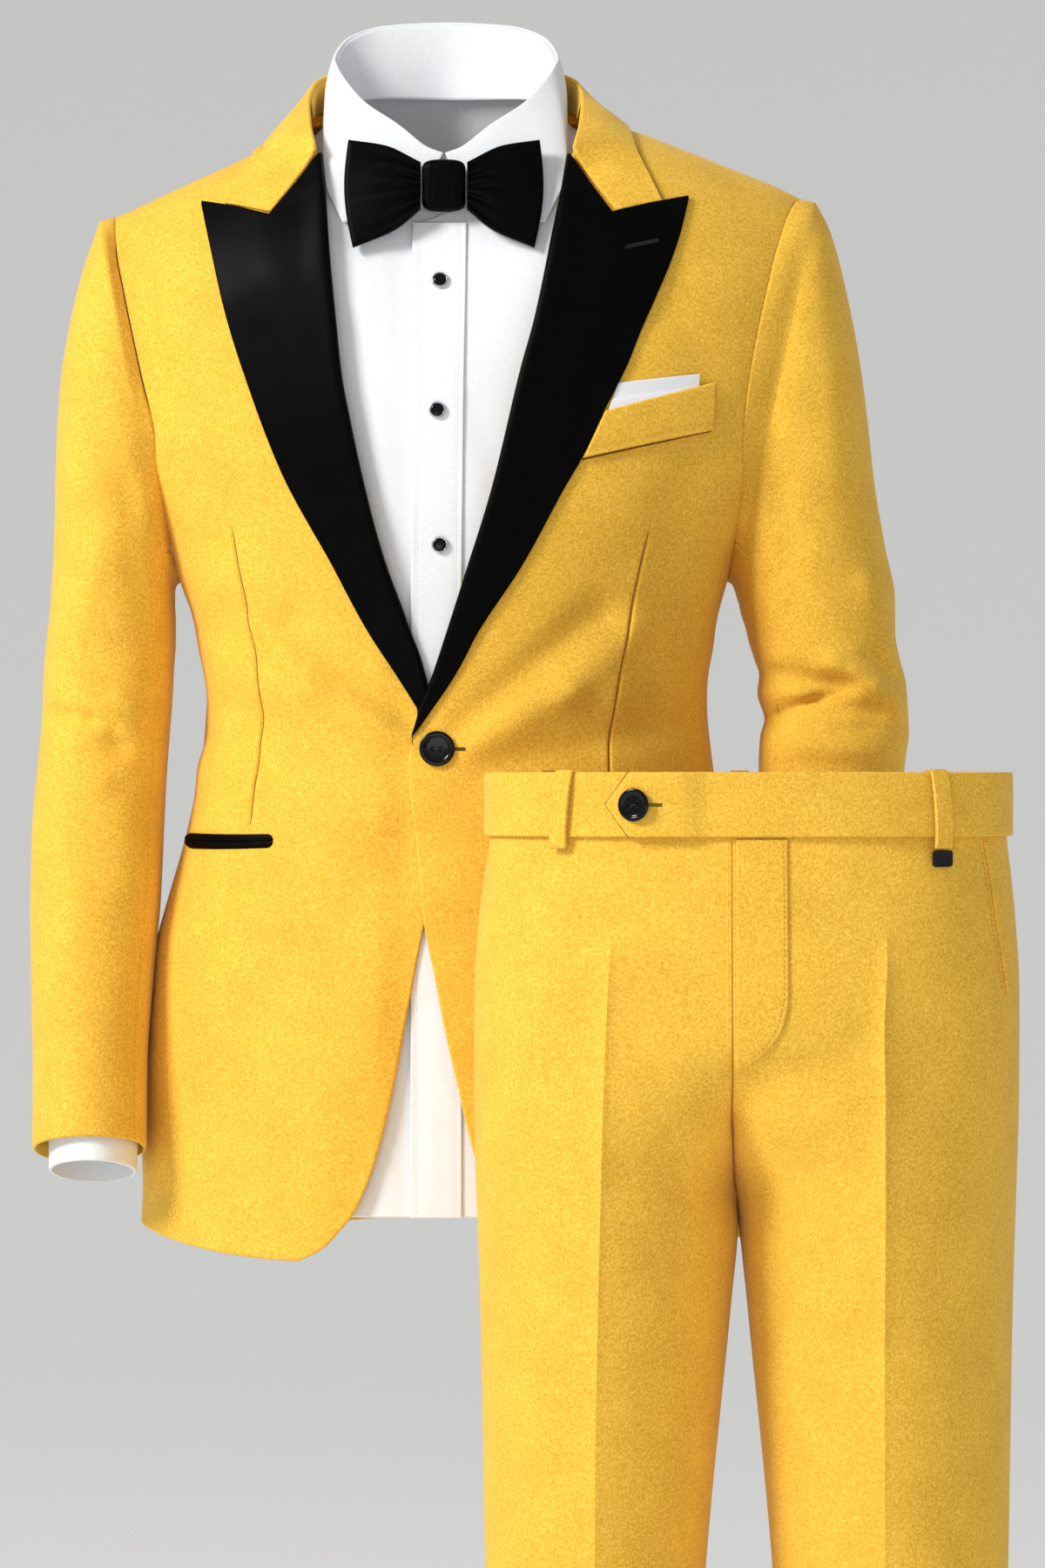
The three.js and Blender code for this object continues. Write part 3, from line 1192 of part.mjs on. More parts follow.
// The waistband's button, on the pointed end
const WAIST_BUTTON = { x: 125.6, z: -463, radius: 10.3, lift: 1.5 };
const waistTurn = bandTurn(WAIST_BUTTON.x);
const waistFacing = bandPoint(waistTurn, 0, 1).sub(bandPoint(waistTurn, 0, 0));
const waistLift = BAND.lift + BAND.wall + BAND.over + WAIST_BUTTON.lift;
const waistSeat = bandPoint(waistTurn, WAIST_BUTTON.z, waistLift);
addRound('waist_button', buttonProfile(WAIST_BUTTON.radius), BUTTON_SEGMENTS, GLOSS, waistSeat, waistFacing);

export default tuxedo;
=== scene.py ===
"""The tuxedo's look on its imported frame: cloth with folds and seams, satin, cotton and buttons."""
import math
import bpy
import numpy as np
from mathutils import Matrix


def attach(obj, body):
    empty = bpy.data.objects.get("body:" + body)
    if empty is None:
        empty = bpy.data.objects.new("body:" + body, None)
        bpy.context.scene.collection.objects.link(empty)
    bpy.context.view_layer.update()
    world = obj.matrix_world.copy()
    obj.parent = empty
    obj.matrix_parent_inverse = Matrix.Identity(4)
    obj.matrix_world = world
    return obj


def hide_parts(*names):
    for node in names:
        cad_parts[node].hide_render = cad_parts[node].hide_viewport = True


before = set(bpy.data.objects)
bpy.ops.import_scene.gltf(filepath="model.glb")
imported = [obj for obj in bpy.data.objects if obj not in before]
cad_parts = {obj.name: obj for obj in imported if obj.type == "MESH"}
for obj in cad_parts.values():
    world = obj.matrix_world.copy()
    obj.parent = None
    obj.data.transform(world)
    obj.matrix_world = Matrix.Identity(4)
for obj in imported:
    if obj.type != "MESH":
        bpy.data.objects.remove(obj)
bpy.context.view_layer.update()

# Sizes in millimetres, in the part's own frame: +Z up, the front faces -Y
MM_PER_METRE = 1000.0
WOOL = 2.0
SATIN_LIFT = 1.0
COTTON = 1.2
SHIRT_INSET = 8.6
SLEEVE_INSET = 13.5
JACKET_MID_X = 8
TORSO_ROUNDNESS = 2.3
ARMPIT_Z = -310
SHIRT_ARMPIT_Z = -301
SHIRT_TAIL_Z = -738.5
SHOULDER_CROWN = 110
CHEST_CROWN = 220
CROWN_BLEND = 125
TROUSER_MID_X = 197
TROUSER_MID_Y = -235.1
WAIST_TOP_Z = -442.5
WAIST_SEAM_Z = -483
CROTCH_Z = -735
LEG_HEM_Z = -1490
BUTTON_RADIUS = 11.8
STUD_RADIUS = 5.6
CUFF_WALL = 2.0
SEAM_ROLL = 1.1
EDGE_ROLL = 1.7
SIGN = {"right": -1, "left": 1}
SIDES = ("right", "left")


class Table:
    """Rows with named columns, read smoothly along their first column."""

    def __init__(self, columns, rows):
        ordered = sorted(rows, key=lambda row: row[0])
        values = np.array(ordered, dtype=float)
        self.rows = [dict(zip(columns, row)) for row in ordered]
        self.keys = values[:, 0]
        self.values = {name: values[:, k] for k, name in enumerate(columns)}
        self.tangents = {name: self.slopes(column) for name, column in self.values.items()}

    def slopes(self, column):
        steps = np.diff(column) / np.diff(self.keys)
        product = steps[:-1] * steps[1:]
        total = steps[:-1] + steps[1:]
        rising = product > 0
        inner = np.zeros_like(total)
        inner[rising] = 2 * product[rising] / total[rising]
        return np.concatenate([steps[:1], inner, steps[-1:]])

    def at(self, place, name):
        column = self.values[name]
        tangent = self.tangents[name]
        place = np.clip(place, self.keys[0], self.keys[-1])
        k = np.clip(np.searchsorted(self.keys, place, side="right") - 1, 0, len(self.keys) - 2)
        step = self.keys[k + 1] - self.keys[k]
        t = (place - self.keys[k]) / step
        rise = t * t * (3 - 2 * t)
        lead = t * (1 - t) ** 2 * tangent[k]
        trail = t * t * (1 - t) * tangent[k + 1]
        return column[k] * (1 - rise) + column[k + 1] * rise + step * (lead - trail)


def mix(a, b, t):
    return a + (b - a) * t


def smooth(value):
    share = np.clip(value, 0, 1)
    return share ** 2 * (3 - 2 * share)


def signed_power(value, power):
    return np.sign(value) * np.abs(value) ** power


def unit(vectors):
    length = np.linalg.norm(vectors, axis=-1, keepdims=True)
    return vectors / np.maximum(length, 1e-9)


def dot(a, b):
    return np.sum(a * b, axis=-1)


def xyz(x, y, z):
    x, y, z = np.broadcast_arrays(x, y, z)
    return np.stack([x, y, z], axis=-1).astype(float)


# The camera stands where the photographer's did: 3.5 m in front, a little below the button
CAMERA_AT = (0.0528, -3.5, -0.45)
FRAME_HEIGHT = 1.08
SENSOR_HEIGHT = 24.0
camera_data = bpy.data.cameras.new("camera")
camera_data.sensor_fit = "VERTICAL"
camera_data.sensor_height = SENSOR_HEIGHT
camera_data.lens = -CAMERA_AT[1] * SENSOR_HEIGHT / FRAME_HEIGHT
camera_data.clip_end = 100
camera = bpy.data.objects.new("camera", camera_data)
camera.location = CAMERA_AT
camera.rotation_euler = (math.pi / 2, 0, 0)
bpy.context.scene.collection.objects.link(camera)
bpy.context.scene.camera = camera


# Materials
def shader_inputs(material):
    return material.node_tree.nodes["Principled BSDF"].inputs


def new_material(name, color, roughness, **values):
    material = bpy.data.materials.new(name)
    material.use_nodes = True
    inputs = shader_inputs(material)
    inputs["Base Color"].default_value = (*color, 1)
    inputs["Roughness"].default_value = roughness
    for socket, value in values.items():
        inputs[socket.replace("_", " ")].default_value = value
    return material


def node(material, kind, **values):
    made = material.node_tree.nodes.new(kind)
    for name, value in values.items():
        made.inputs[name.replace("_", " ")].default_value = value
    return made


def link(material, source, target):
    material.node_tree.links.new(source, target)


def texture(material, kind, space, mapped, **values):
    """A texture's value, read over a space that is stretched or turned."""
    place = node(material, "ShaderNodeTexCoord")
    mapping = node(material, "ShaderNodeMapping", **mapped)
    made = node(material, kind, **values)
    link(material, place.outputs[space], mapping.inputs["Vector"])
    link(material, mapping.outputs["Vector"], made.inputs["Vector"])
    return made.outputs["Fac"]


def noise(material, scale, detail, stretch=(1, 1, 1), space="UV"):
    return texture(material, "ShaderNodeTexNoise", space, {"Scale": stretch}, Scale=scale, Detail=detail)


def weave(material, scale, degrees):
    turned = {"Rotation": (0, 0, math.radians(degrees))}
    return texture(material, "ShaderNodeTexWave", "UV", turned, Scale=scale, Distortion=0.6)


def ramp(material, source, stops):
    made = material.node_tree.nodes.new("ShaderNodeValToRGB")
    elements = made.color_ramp.elements
    while len(elements) < len(stops):
        elements.new(0.5)
    for element, (position, color) in zip(elements, stops):
        element.position = position
        element.color = (*color, 1)
    link(material, source, made.inputs["Fac"])
    return made.outputs["Color"]


def multiplied(material, first, second):
    made = material.node_tree.nodes.new("ShaderNodeMix")
    made.data_type = "RGBA"
    made.blend_type = "MULTIPLY"
    factor, first_color, second_color, mixed = 0, 6, 7, 2
    made.inputs[factor].default_value = 1.0
    link(material, first, made.inputs[first_color])
    link(material, second, made.inputs[second_color])
    return made.outputs[mixed]


def tint(material, source, stops):
    link(material, ramp(material, source, stops), shader_inputs(material)["Base Color"])


def vary_gloss(material, source, smoothest, roughest):
    made = node(material, "ShaderNodeMapRange", To_Min=smoothest, To_Max=roughest)
    link(material, source, made.inputs["Value"])
    link(material, made.outputs["Result"], shader_inputs(material)["Roughness"])


def bump(material, sources, distance):
    previous = None
    for source, strength in sources:
        made = node(material, "ShaderNodeBump", Strength=strength, Distance=distance)
        link(material, source, made.inputs["Height"])
        if previous:
            link(material, previous, made.inputs["Normal"])
        previous = made.outputs["Normal"]
    link(material, previous, shader_inputs(material)["Normal"])


def wool_material():
    material = new_material(
        "wool_yellow", (0.86, 0.50, 0.045), 0.86,
        Sheen_Weight=0.22, Sheen_Roughness=0.45, Sheen_Tint=(1, 0.86, 0.5, 1), Specular_IOR_Level=0.18,
    )
    fibres = noise(material, 620, 4, space="Object")
    fine = ramp(material, fibres, [
        (0.30, (0.74, 0.395, 0.028)), (0.50, (0.88, 0.510, 0.052)), (0.72, (1.0, 0.650, 0.110)),
    ])
    mottle = noise(material, 30, 3, space="Object")
    broad = ramp(material, mottle, [(0.3, (0.90, 0.89, 0.86)), (0.7, (1, 1, 1))])
    link(material, multiplied(material, fine, broad), shader_inputs(material)["Base Color"])
    bump(material, [(weave(material, 260, 58), 0.10), (fibres, 0.3)], 0.0004)
    return material


def satin_material():
    material = new_material(
        "satin_black", (0.0008, 0.0008, 0.001), 0.44, Specular_IOR_Level=0.045, Anisotropic=0.3,
    )
    ribs = noise(material, 420, 3, (1, 6, 1))
    tint(material, ribs, [(0.3, (0.0004, 0.0004, 0.0006)), (0.7, (0.0011, 0.0011, 0.0013))])
    vary_gloss(material, noise(material, 18, 2), 0.40, 0.52)
    bump(material, [(ribs, 0.12)], 0.0002)
    return material


def cotton_material():
    material = new_material(
        "cotton_white", (0.81, 0.83, 0.86), 0.78,
        Sheen_Weight=0.12, Sheen_Roughness=0.5, Specular_IOR_Level=0.3,
    )
    slubs = noise(material, 160, 3, (1, 9, 1))
    tint(material, slubs, [(0.3, (0.77, 0.79, 0.82)), (0.7, (0.85, 0.87, 0.90))])
    across = weave(material, 330, 0)
    along = weave(material, 330, 90)
    bump(material, [(across, 0.05), (along, 0.05), (noise(material, 1500, 2), 0.14)], 0.0002)
    return material


def gloss_material():
    material = new_material(
        "button_black", (0.002, 0.002, 0.003), 0.13,
        Specular_IOR_Level=0.16, Coat_Weight=0.12, Coat_Roughness=0.04,
    )
    haze = noise(material, 900, 3)
    vary_gloss(material, haze, 0.08, 0.2)
    tint(material, haze, [(0.3, (0.001, 0.001, 0.0015)), (0.8, (0.003, 0.003, 0.004))])
    return material


def metal_material(name, dark, light, roughness):
    material = new_material(name, light, roughness, Metallic=1.0)
    brushed = noise(material, 700, 3, (1, 14, 1))
    tint(material, brushed, [(0.25, dark), (0.75, light)])
    vary_gloss(material, brushed, roughness * 0.8, roughness * 1.3)
    bump(material, [(brushed, 0.08)], 0.0001)
    return material


def thread_material(name, dark, light):
    material = new_material(name, light, 0.7, Sheen_Weight=0.1, Specular_IOR_Level=0.3)
    twist = noise(material, 2600, 2, (1, 3, 1))
    tint(material, twist, [(0.3, dark), (0.7, light)])
    bump(material, [(twist, 0.3)], 0.0002)
    return material


# Threads and metals: a name, a dark and a light tone, a metal's roughness, and the slot that it fills
THREADS = {
    "yellow_thread": ("thread_yellow", (0.50, 0.26, 0.015), (0.74, 0.42, 0.035), "wool_yellow"),
    "white_thread": ("thread_white", (0.66, 0.66, 0.68), (0.82, 0.82, 0.84), "cotton_white"),
    "dark_thread": ("thread_dark", (0.012, 0.008, 0.004), (0.05, 0.03, 0.012), "wool_yellow"),
    "black_thread": ("thread_black", (0.003, 0.003, 0.003), (0.018, 0.018, 0.02), "satin_black"),
    # seam is not a thread: its dark tone is painted shade, used for the thin shadow lines along seams and
    # under edges
    "seam": ("painted_seam_shade", (0.14, 0.055, 0.003), (0.27, 0.12, 0.008), "wool_yellow"),
}
METALS = {
    "rim": ("stud_rim", (0.30, 0.30, 0.31), (0.72, 0.72, 0.74), 0.22, "metal_black"),
    "metal": ("metal_black", (0.012, 0.012, 0.013), (0.05, 0.05, 0.052), 0.34, "metal_black"),
}
MATERIALS = {
    "wool": (wool_material(), "wool_yellow"),
    "satin": (satin_material(), "satin_black"),
    "cotton": (cotton_material(), "cotton_white"),
    "gloss": (gloss_material(), "button_black"),
}
for key, (*look, slot) in METALS.items():
    MATERIALS[key] = (metal_material(*look), slot)
for key, (*look, slot) in THREADS.items():
    MATERIALS[key] = (thread_material(*look), slot)
PIECE_WORD = {"wool": "cloth", "satin": "satin", "cotton": "cotton"}


# Meshes
def grid_quads(rows, columns, closed, start=0):
    spans = columns if closed else columns - 1
    i, j = np.meshgrid(np.arange(rows - 1), np.arange(spans), indexing="ij")
    following = (j + 1) % columns
    corners = [i * columns + j, (i + 1) * columns + j, (i + 1) * columns + following, i * columns + following]
    return np.stack(corners, axis=-1).reshape(-1, 4) + start


def strip_quads(first, second):
    return np.stack([first[:-1], second[:-1], second[1:], first[1:]], axis=-1)


def end_caps(rows, columns):
    """One face over the first ring of a closed grid and one over its last."""
    size = rows * columns
    return [list(range(columns)), list(range(size - columns, size))[::-1]]


def uv_grid(u, v):
    return np.stack(np.broadcast_arrays(u, v), axis=-1).reshape(-1, 2)


def add_piece(name, points, faces, uvs, material, nodes=()):
    mesh = bpy.data.meshes.new(name)
    mesh.from_pydata((points.reshape(-1, 3) / MM_PER_METRE).tolist(), [], faces)
    mesh.update()
    mesh.shade_smooth()
    layer = mesh.uv_layers.new(name="UVMap")
    order = np.zeros(len(mesh.loops), dtype=np.int32)
    mesh.loops.foreach_get("vertex_index", order)
    layer.data.foreach_set("uv", (uvs[order] / MM_PER_METRE).ravel())
    look, slot = MATERIALS[material]
    mesh.materials.append(look)
    piece = bpy.data.objects.new(name, mesh)
    bpy.context.scene.collection.objects.link(piece)
    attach(piece, "root")
    if nodes:
        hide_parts(*nodes)
    return piece


def lengths_along(points, axis):
    steps = np.linalg.norm(np.diff(points, axis=axis), axis=-1)
    pad = [(0, 0)] * steps.ndim
    pad[axis] = (1, 0)
    return np.cumsum(np.pad(steps, pad), axis=axis)


def facing_out(points, normals, closed):
    across = np.roll(points, -1, axis=1) - points if closed else np.gradient(points, axis=1)
    along = np.gradient(points, axis=0)
    return np.nansum(dot(np.cross(along, across), normals)) > 0


def shell(name, outer, inner, normals, material, nodes=(), closed=False):
    """A thin wall between an outer and an inner grid of points, with rims round its open edges."""
    rows, columns = outer.shape[:2]
    size = rows * columns
    quads = [grid_quads(rows, columns, closed), grid_quads(rows, columns, closed, size)[:, ::-1]]
    wrap = [0] if closed else []
    loop = np.array([*range(columns), *wrap])
    last = (rows - 1) * columns
    quads.append(strip_quads(loop + size, loop))
    quads.append(strip_quads(loop + last, loop + last + size))
    if not closed:
        side = np.arange(rows) * columns
        end = side + columns - 1
        quads.append(strip_quads(side, side + size))
        quads.append(strip_quads(end + size, end))
    quads = np.concatenate(quads)
    if not facing_out(outer, normals, closed):
        quads = quads[:, ::-1]
    u = lengths_along(outer, 1)
    middle = columns // 2
    uv = uv_grid(u - u[:, middle:middle + 1], lengths_along(outer, 0))
    points = np.stack([outer, inner])
    return add_piece(name, points, quads.tolist(), np.concatenate([uv, uv]), material, nodes)


# The least side of a flat cut in metres, and the least share of its box that its area fills
LEAST_CUT = 0.0105
LEAST_SHARE = 0.31


def cut_size(outer, closed):
    """The flat size and area of a grid of cloth, in metres."""
    ring = np.concatenate([outer, outer[:, :1]], axis=1) if closed else outer
    width = lengths_along(ring, 1)[:, -1].max()
    length = lengths_along(ring, 0)[-1].max()
    a = ring[1:, 1:] - ring[:-1, :-1]
    b = ring[1:, :-1] - ring[:-1, 1:]
    area = np.linalg.norm(np.cross(a, b), axis=-1).sum() / 2
    return width / MM_PER_METRE, length / MM_PER_METRE, area / MM_PER_METRE ** 2


def cloth(node_name, outer, inner, normals, material, held, rests_on, closed=False, cut=None):
    """The piece that stands for a CAD node; the flat size of its cloth is worked out but not used."""
    piece = shell(f"{node_name}_{PIECE_WORD[material]}", outer, inner, normals, material, [node_name], closed)
    width, length, area = cut_size(outer if cut is None else cut, closed)
    width = max(width, LEAST_CUT)
    length = max(length, LEAST_CUT)
    area = min(max(area, LEAST_SHARE * width * length), width * length)


def rolled(distance, radius):
    """How far a cloth's face falls near an edge that is turned over, from the distance to the edge."""
    inside = np.clip(1 - distance / radius, 0, 1)
    return radius * (1 - np.sqrt(1 - inside ** 2))


def edge_fall(points, left=0, right=0, top=0, bottom=0):
    """The fall of a grid's face towards its four edges, each with its own roll radius."""
    across = lengths_along(points, 1)
    along = lengths_along(points, 0)
    fall = np.zeros(points.shape[:2])
    for distance, radius in (
        (across, left), (across[:, -1:] - across, right), (along, top), (along[-1:] - along, bottom),
    ):
        if radius:
            fall = np.maximum(fall, rolled(distance, radius))
    return fall


def crowded(count, edge):
    """Places from 0 to 1, evenly spread, with more of them close to both ends."""
    close = np.array([0.0, 0.2, 0.45, 0.75, 1.1, 1.6, 2.3]) * edge
    even = np.linspace(close[-1] * 1.5, 1 - close[-1] * 1.5, count)
    return np.concatenate([close, even, 1 - close[::-1]])


def crowded_halves(count, edge):
    """Places from 0 to 1, crowded at the middle too."""
    half = crowded(count, edge)
    return np.concatenate([half * 0.5, 0.5 + half[1:] * 0.5])


# Places across a turned leaf, close together near its edge
LEAF_EDGE_PLACES = [0.93, 0.955, 0.975, 0.99, 1]


def grid_normals(points, closed, outward):
    if closed:
        across = np.roll(points, -1, axis=1) - np.roll(points, 1, axis=1)
    else:
        across = np.gradient(points, axis=1)
    normals = unit(np.cross(across, np.gradient(points, axis=0)))
    return -normals if dot(normals, outward).sum() < 0 else normals


FOLD_COLUMNS = ["x0", "z0", "x1", "z1", "height", "spread"]


def segments_height(folds, x, z):
    """Soft ridges and troughs, each along a line of the front view."""
    total = np.zeros(np.broadcast(x, z).shape)
    for fold in folds.rows:
        run = np.array([fold["x1"] - fold["x0"], fold["z1"] - fold["z0"]], dtype=float)
        from_x = x - fold["x0"]
        from_z = z - fold["z0"]
        along = np.clip((from_x * run[0] + from_z * run[1]) / (run @ run), 0, 1)
        off = (from_x - along * run[0]) ** 2 + (from_z - along * run[1]) ** 2
        total = total + fold["height"] * np.exp(-off / fold["spread"] ** 2)
    return total


def circle(count):
    return np.linspace(0, 2 * math.pi, count, endpoint=False)


def thread_rings(line, forward, up, width, height, sides, fullness=1.0):
    """Rings of points round a thread that lies along a line on a face."""
    fullness = np.broadcast_to(fullness, len(line))[:, None]
    sideways = unit(np.cross(forward, up))[:, None]
    ring = line[:, None] + sideways * (width * fullness * np.cos(circle(sides)))[..., None]
    return ring + unit(up)[:, None] * (height * fullness * np.sin(circle(sides)))[..., None]


def add_threads(name, rings, uvs, material):
    """One piece of separate threads, each a grid of rings."""
    rows, sides = rings[0].shape[:2]
    quads = [grid_quads(rows, sides, True, k * rows * sides) for k in range(len(rings))]
    add_piece(name, np.stack(rings), np.concatenate(quads).tolist(), np.concatenate(uvs), material)


STITCH_PLACES = np.array([0.0, 0.16, 0.5, 0.84, 1.0])
STITCH_FULLNESS = np.array([0.35, 0.85, 1.0, 0.85, 0.35])
STITCH_SIDES = 6


def stitch_row(name, path, normals, material, length, gap, width, height=0.3):
    """A row of separate stitches along a path that lies on the cloth."""
    steps = lengths_along(path, 0)
    rings = []
    uvs = []

    def along(values, place):
        return np.stack([np.interp(place, steps, values[:, k]) for k in range(3)], axis=-1)

    for start in np.arange(gap / 2, steps[-1] - length, length + gap):
        place = start + STITCH_PLACES * length
        centre = along(path, place)
        forward = unit(np.gradient(centre, axis=0))
        up = unit(along(normals, place))
        rings.append(thread_rings(centre, forward, up, width, height, STITCH_SIDES, STITCH_FULLNESS))
        uvs.append(uv_grid(place[:, None], circle(STITCH_SIDES) * width))
    add_threads(name, rings, uvs, material)


# Painted shade lines: thin dark tubes laid where seams and edges cast narrow shadows
SHADE_LINE_SIDES = 8
SHADE_LINE_FLATNESS = 0.7


def painted_shade_line(name, path, normals, radius):
    """Painted shade: a thin dark tube along a seam or under an edge, where a narrow shadow would fall."""
    forward = unit(np.gradient(path, axis=0))
    ring = thread_rings(path, forward, normals, radius, radius * SHADE_LINE_FLATNESS, SHADE_LINE_SIDES)
    faces = grid_quads(len(path), SHADE_LINE_SIDES, True).tolist() + end_caps(len(path), SHADE_LINE_SIDES)
    uv = uv_grid(lengths_along(path, 0)[:, None], circle(SHADE_LINE_SIDES) * radius)
    add_piece(name, ring, faces, uv, "seam")


# The torso that the jacket and the shirt are cut for
TORSO = Table(["z", "right", "left", "front", "back"], [
    [100, 262, 268, 98, 96],
    [0, 260, 266, 103, 100],
    [-60, 257, 263, 107, 104],
    [-106, 250, 256, 113, 109],
    [-150, 243, 248, 119, 112],
    [-209, 229, 232, 124, 114],
    [-260, 206, 208, 125, 112],
    [-290, 195, 192, 124, 109],
    [ARMPIT_Z, 189.5, 185.5, 123, 107],
    [-344, 178, 177, 120, 102],
    [-388, 173, 172, 118, 97],
    [-434, 176.5, 175.5, 118, 97],
    [-480, 185.5, 186, 119, 102],
    [-538, 201, 201, 122, 111],
    [-582, 208, 210, 124, 116],
    [-698, 215, 219, 128, 122],
    [-800, 220, 225, 131, 125],
])

SHOULDER = Table(["x", "front", "back"], [
    [-250, -67, -67],
    [-228, -60, -60],
    [-181, -39, -39],
    [-126, -14, -14],
    [-95, 2, 4],
    [-80, 20, 24],
    [-60, 30, 44],
    [0, 36, 68],
    [60, 30, 44],
    [80, 20, 24],
    [95, 6, 7],
    [128, -1, -1],
    [163, -13.5, -13.5],
    [197, -27, -27],
    [225, -38, -38],
    [246, -48, -48],
    [268, -58, -58],
])

NECK_HALF = 95
BACK_NECK = {
    "jacket": Table(["x", "z"], [
        [-95, 4], [-86, 9], [-70, 15], [-40, 20], [0, 22], [40, 20], [70, 15], [86, 9], [95, 7],
    ]),
    "shirt": Table(["x", "z"], [
        [-95, 4], [-88, 13], [-80, 23], [-70, 31], [-40, 37], [0, 38],
        [40, 37], [70, 31], [80, 23], [88, 14], [95, 7],
    ]),
}

ARMHOLE = Table(["z", "right", "left"], [
    [-40, -229, 247],
    [-60, -227.5, 235],
    [-92, -224, 224],
    [-110, -220, 219.5],
    [-150, -211, 210.5],
    [-183, -204, 205],
    [-212, -197, 202],
    [-251, -191, 199.5],
    [-286, -186, 196.5],
    [ARMPIT_Z, -181.5, 193.5],
])

SHOULDER_END = {"right": -228, "left": 246}
PLACING_PASSES = 26
PLACING_STEP = 0.35

LEVELS = Table(["row", "below", "level", "share"], [
    [0, 0, 0, 0], [1, 5, 0, 0], [2, 18, 0, 0], [3, 38, 0, 0], [4, 62, 0, 0], [5, 90, 0, 0], [6, 120, 0, 0],
    [7, 155, -216, 0.2], [8, 195, -256, 0.5], [9, 230, -288, 0.8], [10, 0, ARMPIT_Z, 1],
    [11, 0, -345, 1], [12, 0, -388, 1], [13, 0, -432, 1], [14, 0, -485, 1], [15, 0, -545, 1],
    [16, 0, -610, 1], [17, 0, -680, 1], [18, 0, -730, 1],
])
ARMPIT_ROW = 10
HEM_ROW = 19

HEM = Table(["x", "z"], [
    [-210, -751], [-176, -760], [-134, -766], [-95, -768], [0, -764],
    [92, -768], [134, -766], [176, -760], [228, -751],
])
BACK_HEM_Z = -757
BACK_HEM_REACH = 210

# The front edges, from the neck down the roll line, past the button and round the cutaway to the hem
FRONT_EDGE = {
    "right": Table(["z", "x"], [
        [5, -93], [-24, -84], [-55, -80], [-94, -77], [-137, -72.5], [-178, -68], [-207, -62.5],
        [-253, -52.5], [-300, -40], [-343, -25], [-389, -9.7], [-412, 2], [-440, 9], [-485, 6], [-520, -4],
        [-545, -12.7], [-599, -23.6], [-666, -36.3], [-700, -45], [-725, -54.2], [-737, -60.6], [-750, -71],
        [-760, -81], [-768, -97],
    ]),
    "left": Table(["z", "x"], [
        [8, 94], [-25, 84], [-51, 79.6], [-79, 74.3], [-115, 67.3], [-144, 61], [-171, 53], [-254, 33],
        [-312, 15], [-369, -3.3], [-405, -15.5], [-423, -21.4], [-433, -23.3], [-449, -22.8], [-475, -19.9],
        [-512, -16.1], [-545, -12.6], [-576, -6.2], [-615, 1.3], [-649, 9.2], [-683, 17], [-710, 25],
        [-735, 38], [-750, 52], [-761, 68], [-768, 92],
    ]),
}

UNDERLAP = {"depth": 3.6, "start_x": -46, "span": 22}


def ridge(face, x):
    return SHOULDER.at(x, "front" if face < 0 else "back")


def crown(face, x):
    if face > 0:
        return np.full_like(np.asarray(x, dtype=float), SHOULDER_CROWN)
    return mix(CHEST_CROWN, SHOULDER_CROWN, smooth(np.abs(x) / CROWN_BLEND))


def torso_point(face, turn, z):
    """A point of the torso: face is -1 in front and 1 behind, turn runs across the body."""
    turn, z = np.broadcast_arrays(np.asarray(turn, dtype=float), np.asarray(z, dtype=float))
    x = JACKET_MID_X + np.where(turn < 0, TORSO.at(z, "right"), TORSO.at(z, "left")) * np.sin(turn)
    behind = face * np.sign(np.cos(turn))
    depth = np.where(behind < 0, TORSO.at(z, "front"), TORSO.at(z, "back"))
    drop = np.clip((ridge(face, x) - z) / crown(face, x), 0, 1)
    rise = np.sqrt(1 - (1 - drop) ** 2)
    return xyz(x, behind * depth * np.abs(np.cos(turn)) ** (2 / TORSO_ROUNDNESS) * rise, z)


def turn_of(x, z):
    half = np.where(np.asarray(x) < JACKET_MID_X, TORSO.at(z, "right"), TORSO.at(z, "left"))
    return np.arcsin(np.clip((x - JACKET_MID_X) / half, -1, 1))


def torso_normal(face, turn, z):
    turn, z = np.broadcast_arrays(np.asarray(turn, dtype=float), np.asarray(z, dtype=float))
    x = torso_point(face, turn, z)[..., 0]
    across = torso_point(face, turn + 0.02, z) - torso_point(face, turn - 0.02, z)
    up = torso_point(face, turn, z + 0.4) - torso_point(face, turn, z - 0.4)
    normal = unit(np.cross(across, up))
    inward = dot(normal, xyz(np.sin(turn), face * np.cos(turn), 0 * turn)) < 0
    normal = np.where(inward[..., None], -normal, normal)
    slope = (ridge(face, x + 2) - ridge(face, x - 2)) / 4
    over = unit(xyz(-slope, 0 * slope, 0 * slope + 1))
    near_top = (ridge(face, x) - z < 0.5)[..., None]
    return np.where(near_top, over, normal)


def on_front(x, z, lift):
    turn = turn_of(x, z)
    return torso_point(-1, turn, z) + torso_normal(-1, turn, z) * np.asarray(lift)[..., None]


def front_facing(x, z):
    return torso_normal(-1, turn_of(x, z), z)


def resting_on(x, y, lift):
    """A point that rests on the shoulder at a place given from above."""
    face = -1 if y < 0 else 1
    high = float(ridge(face, x))
    low = high - float(crown(face, x))
    for _ in range(24):
        middle = (high + low) / 2
        if abs(torso_point(face, turn_of(x, middle), middle)[1]) < abs(y):
            high = middle
        else:
            low = middle
    turn = turn_of(x, high)
    return torso_point(face, turn, high) + torso_normal(face, turn, high) * lift


def underlap(side, x):
    if side == "left":
        return 0 * x
    return -UNDERLAP["depth"] * smooth((x - UNDERLAP["start_x"]) / UNDERLAP["span"])


def level_height(row, top, hem, armpit):
    level = np.minimum(row, HEM_ROW - 1)
    z = mix(top - LEVELS.values["below"][level], LEVELS.values["level"][level], LEVELS.values["share"][level])
    z = np.where(row <= ARMPIT_ROW, z + (armpit - ARMPIT_Z) * (row / ARMPIT_ROW) ** 4, z)
    return np.where(row == HEM_ROW, hem, z)


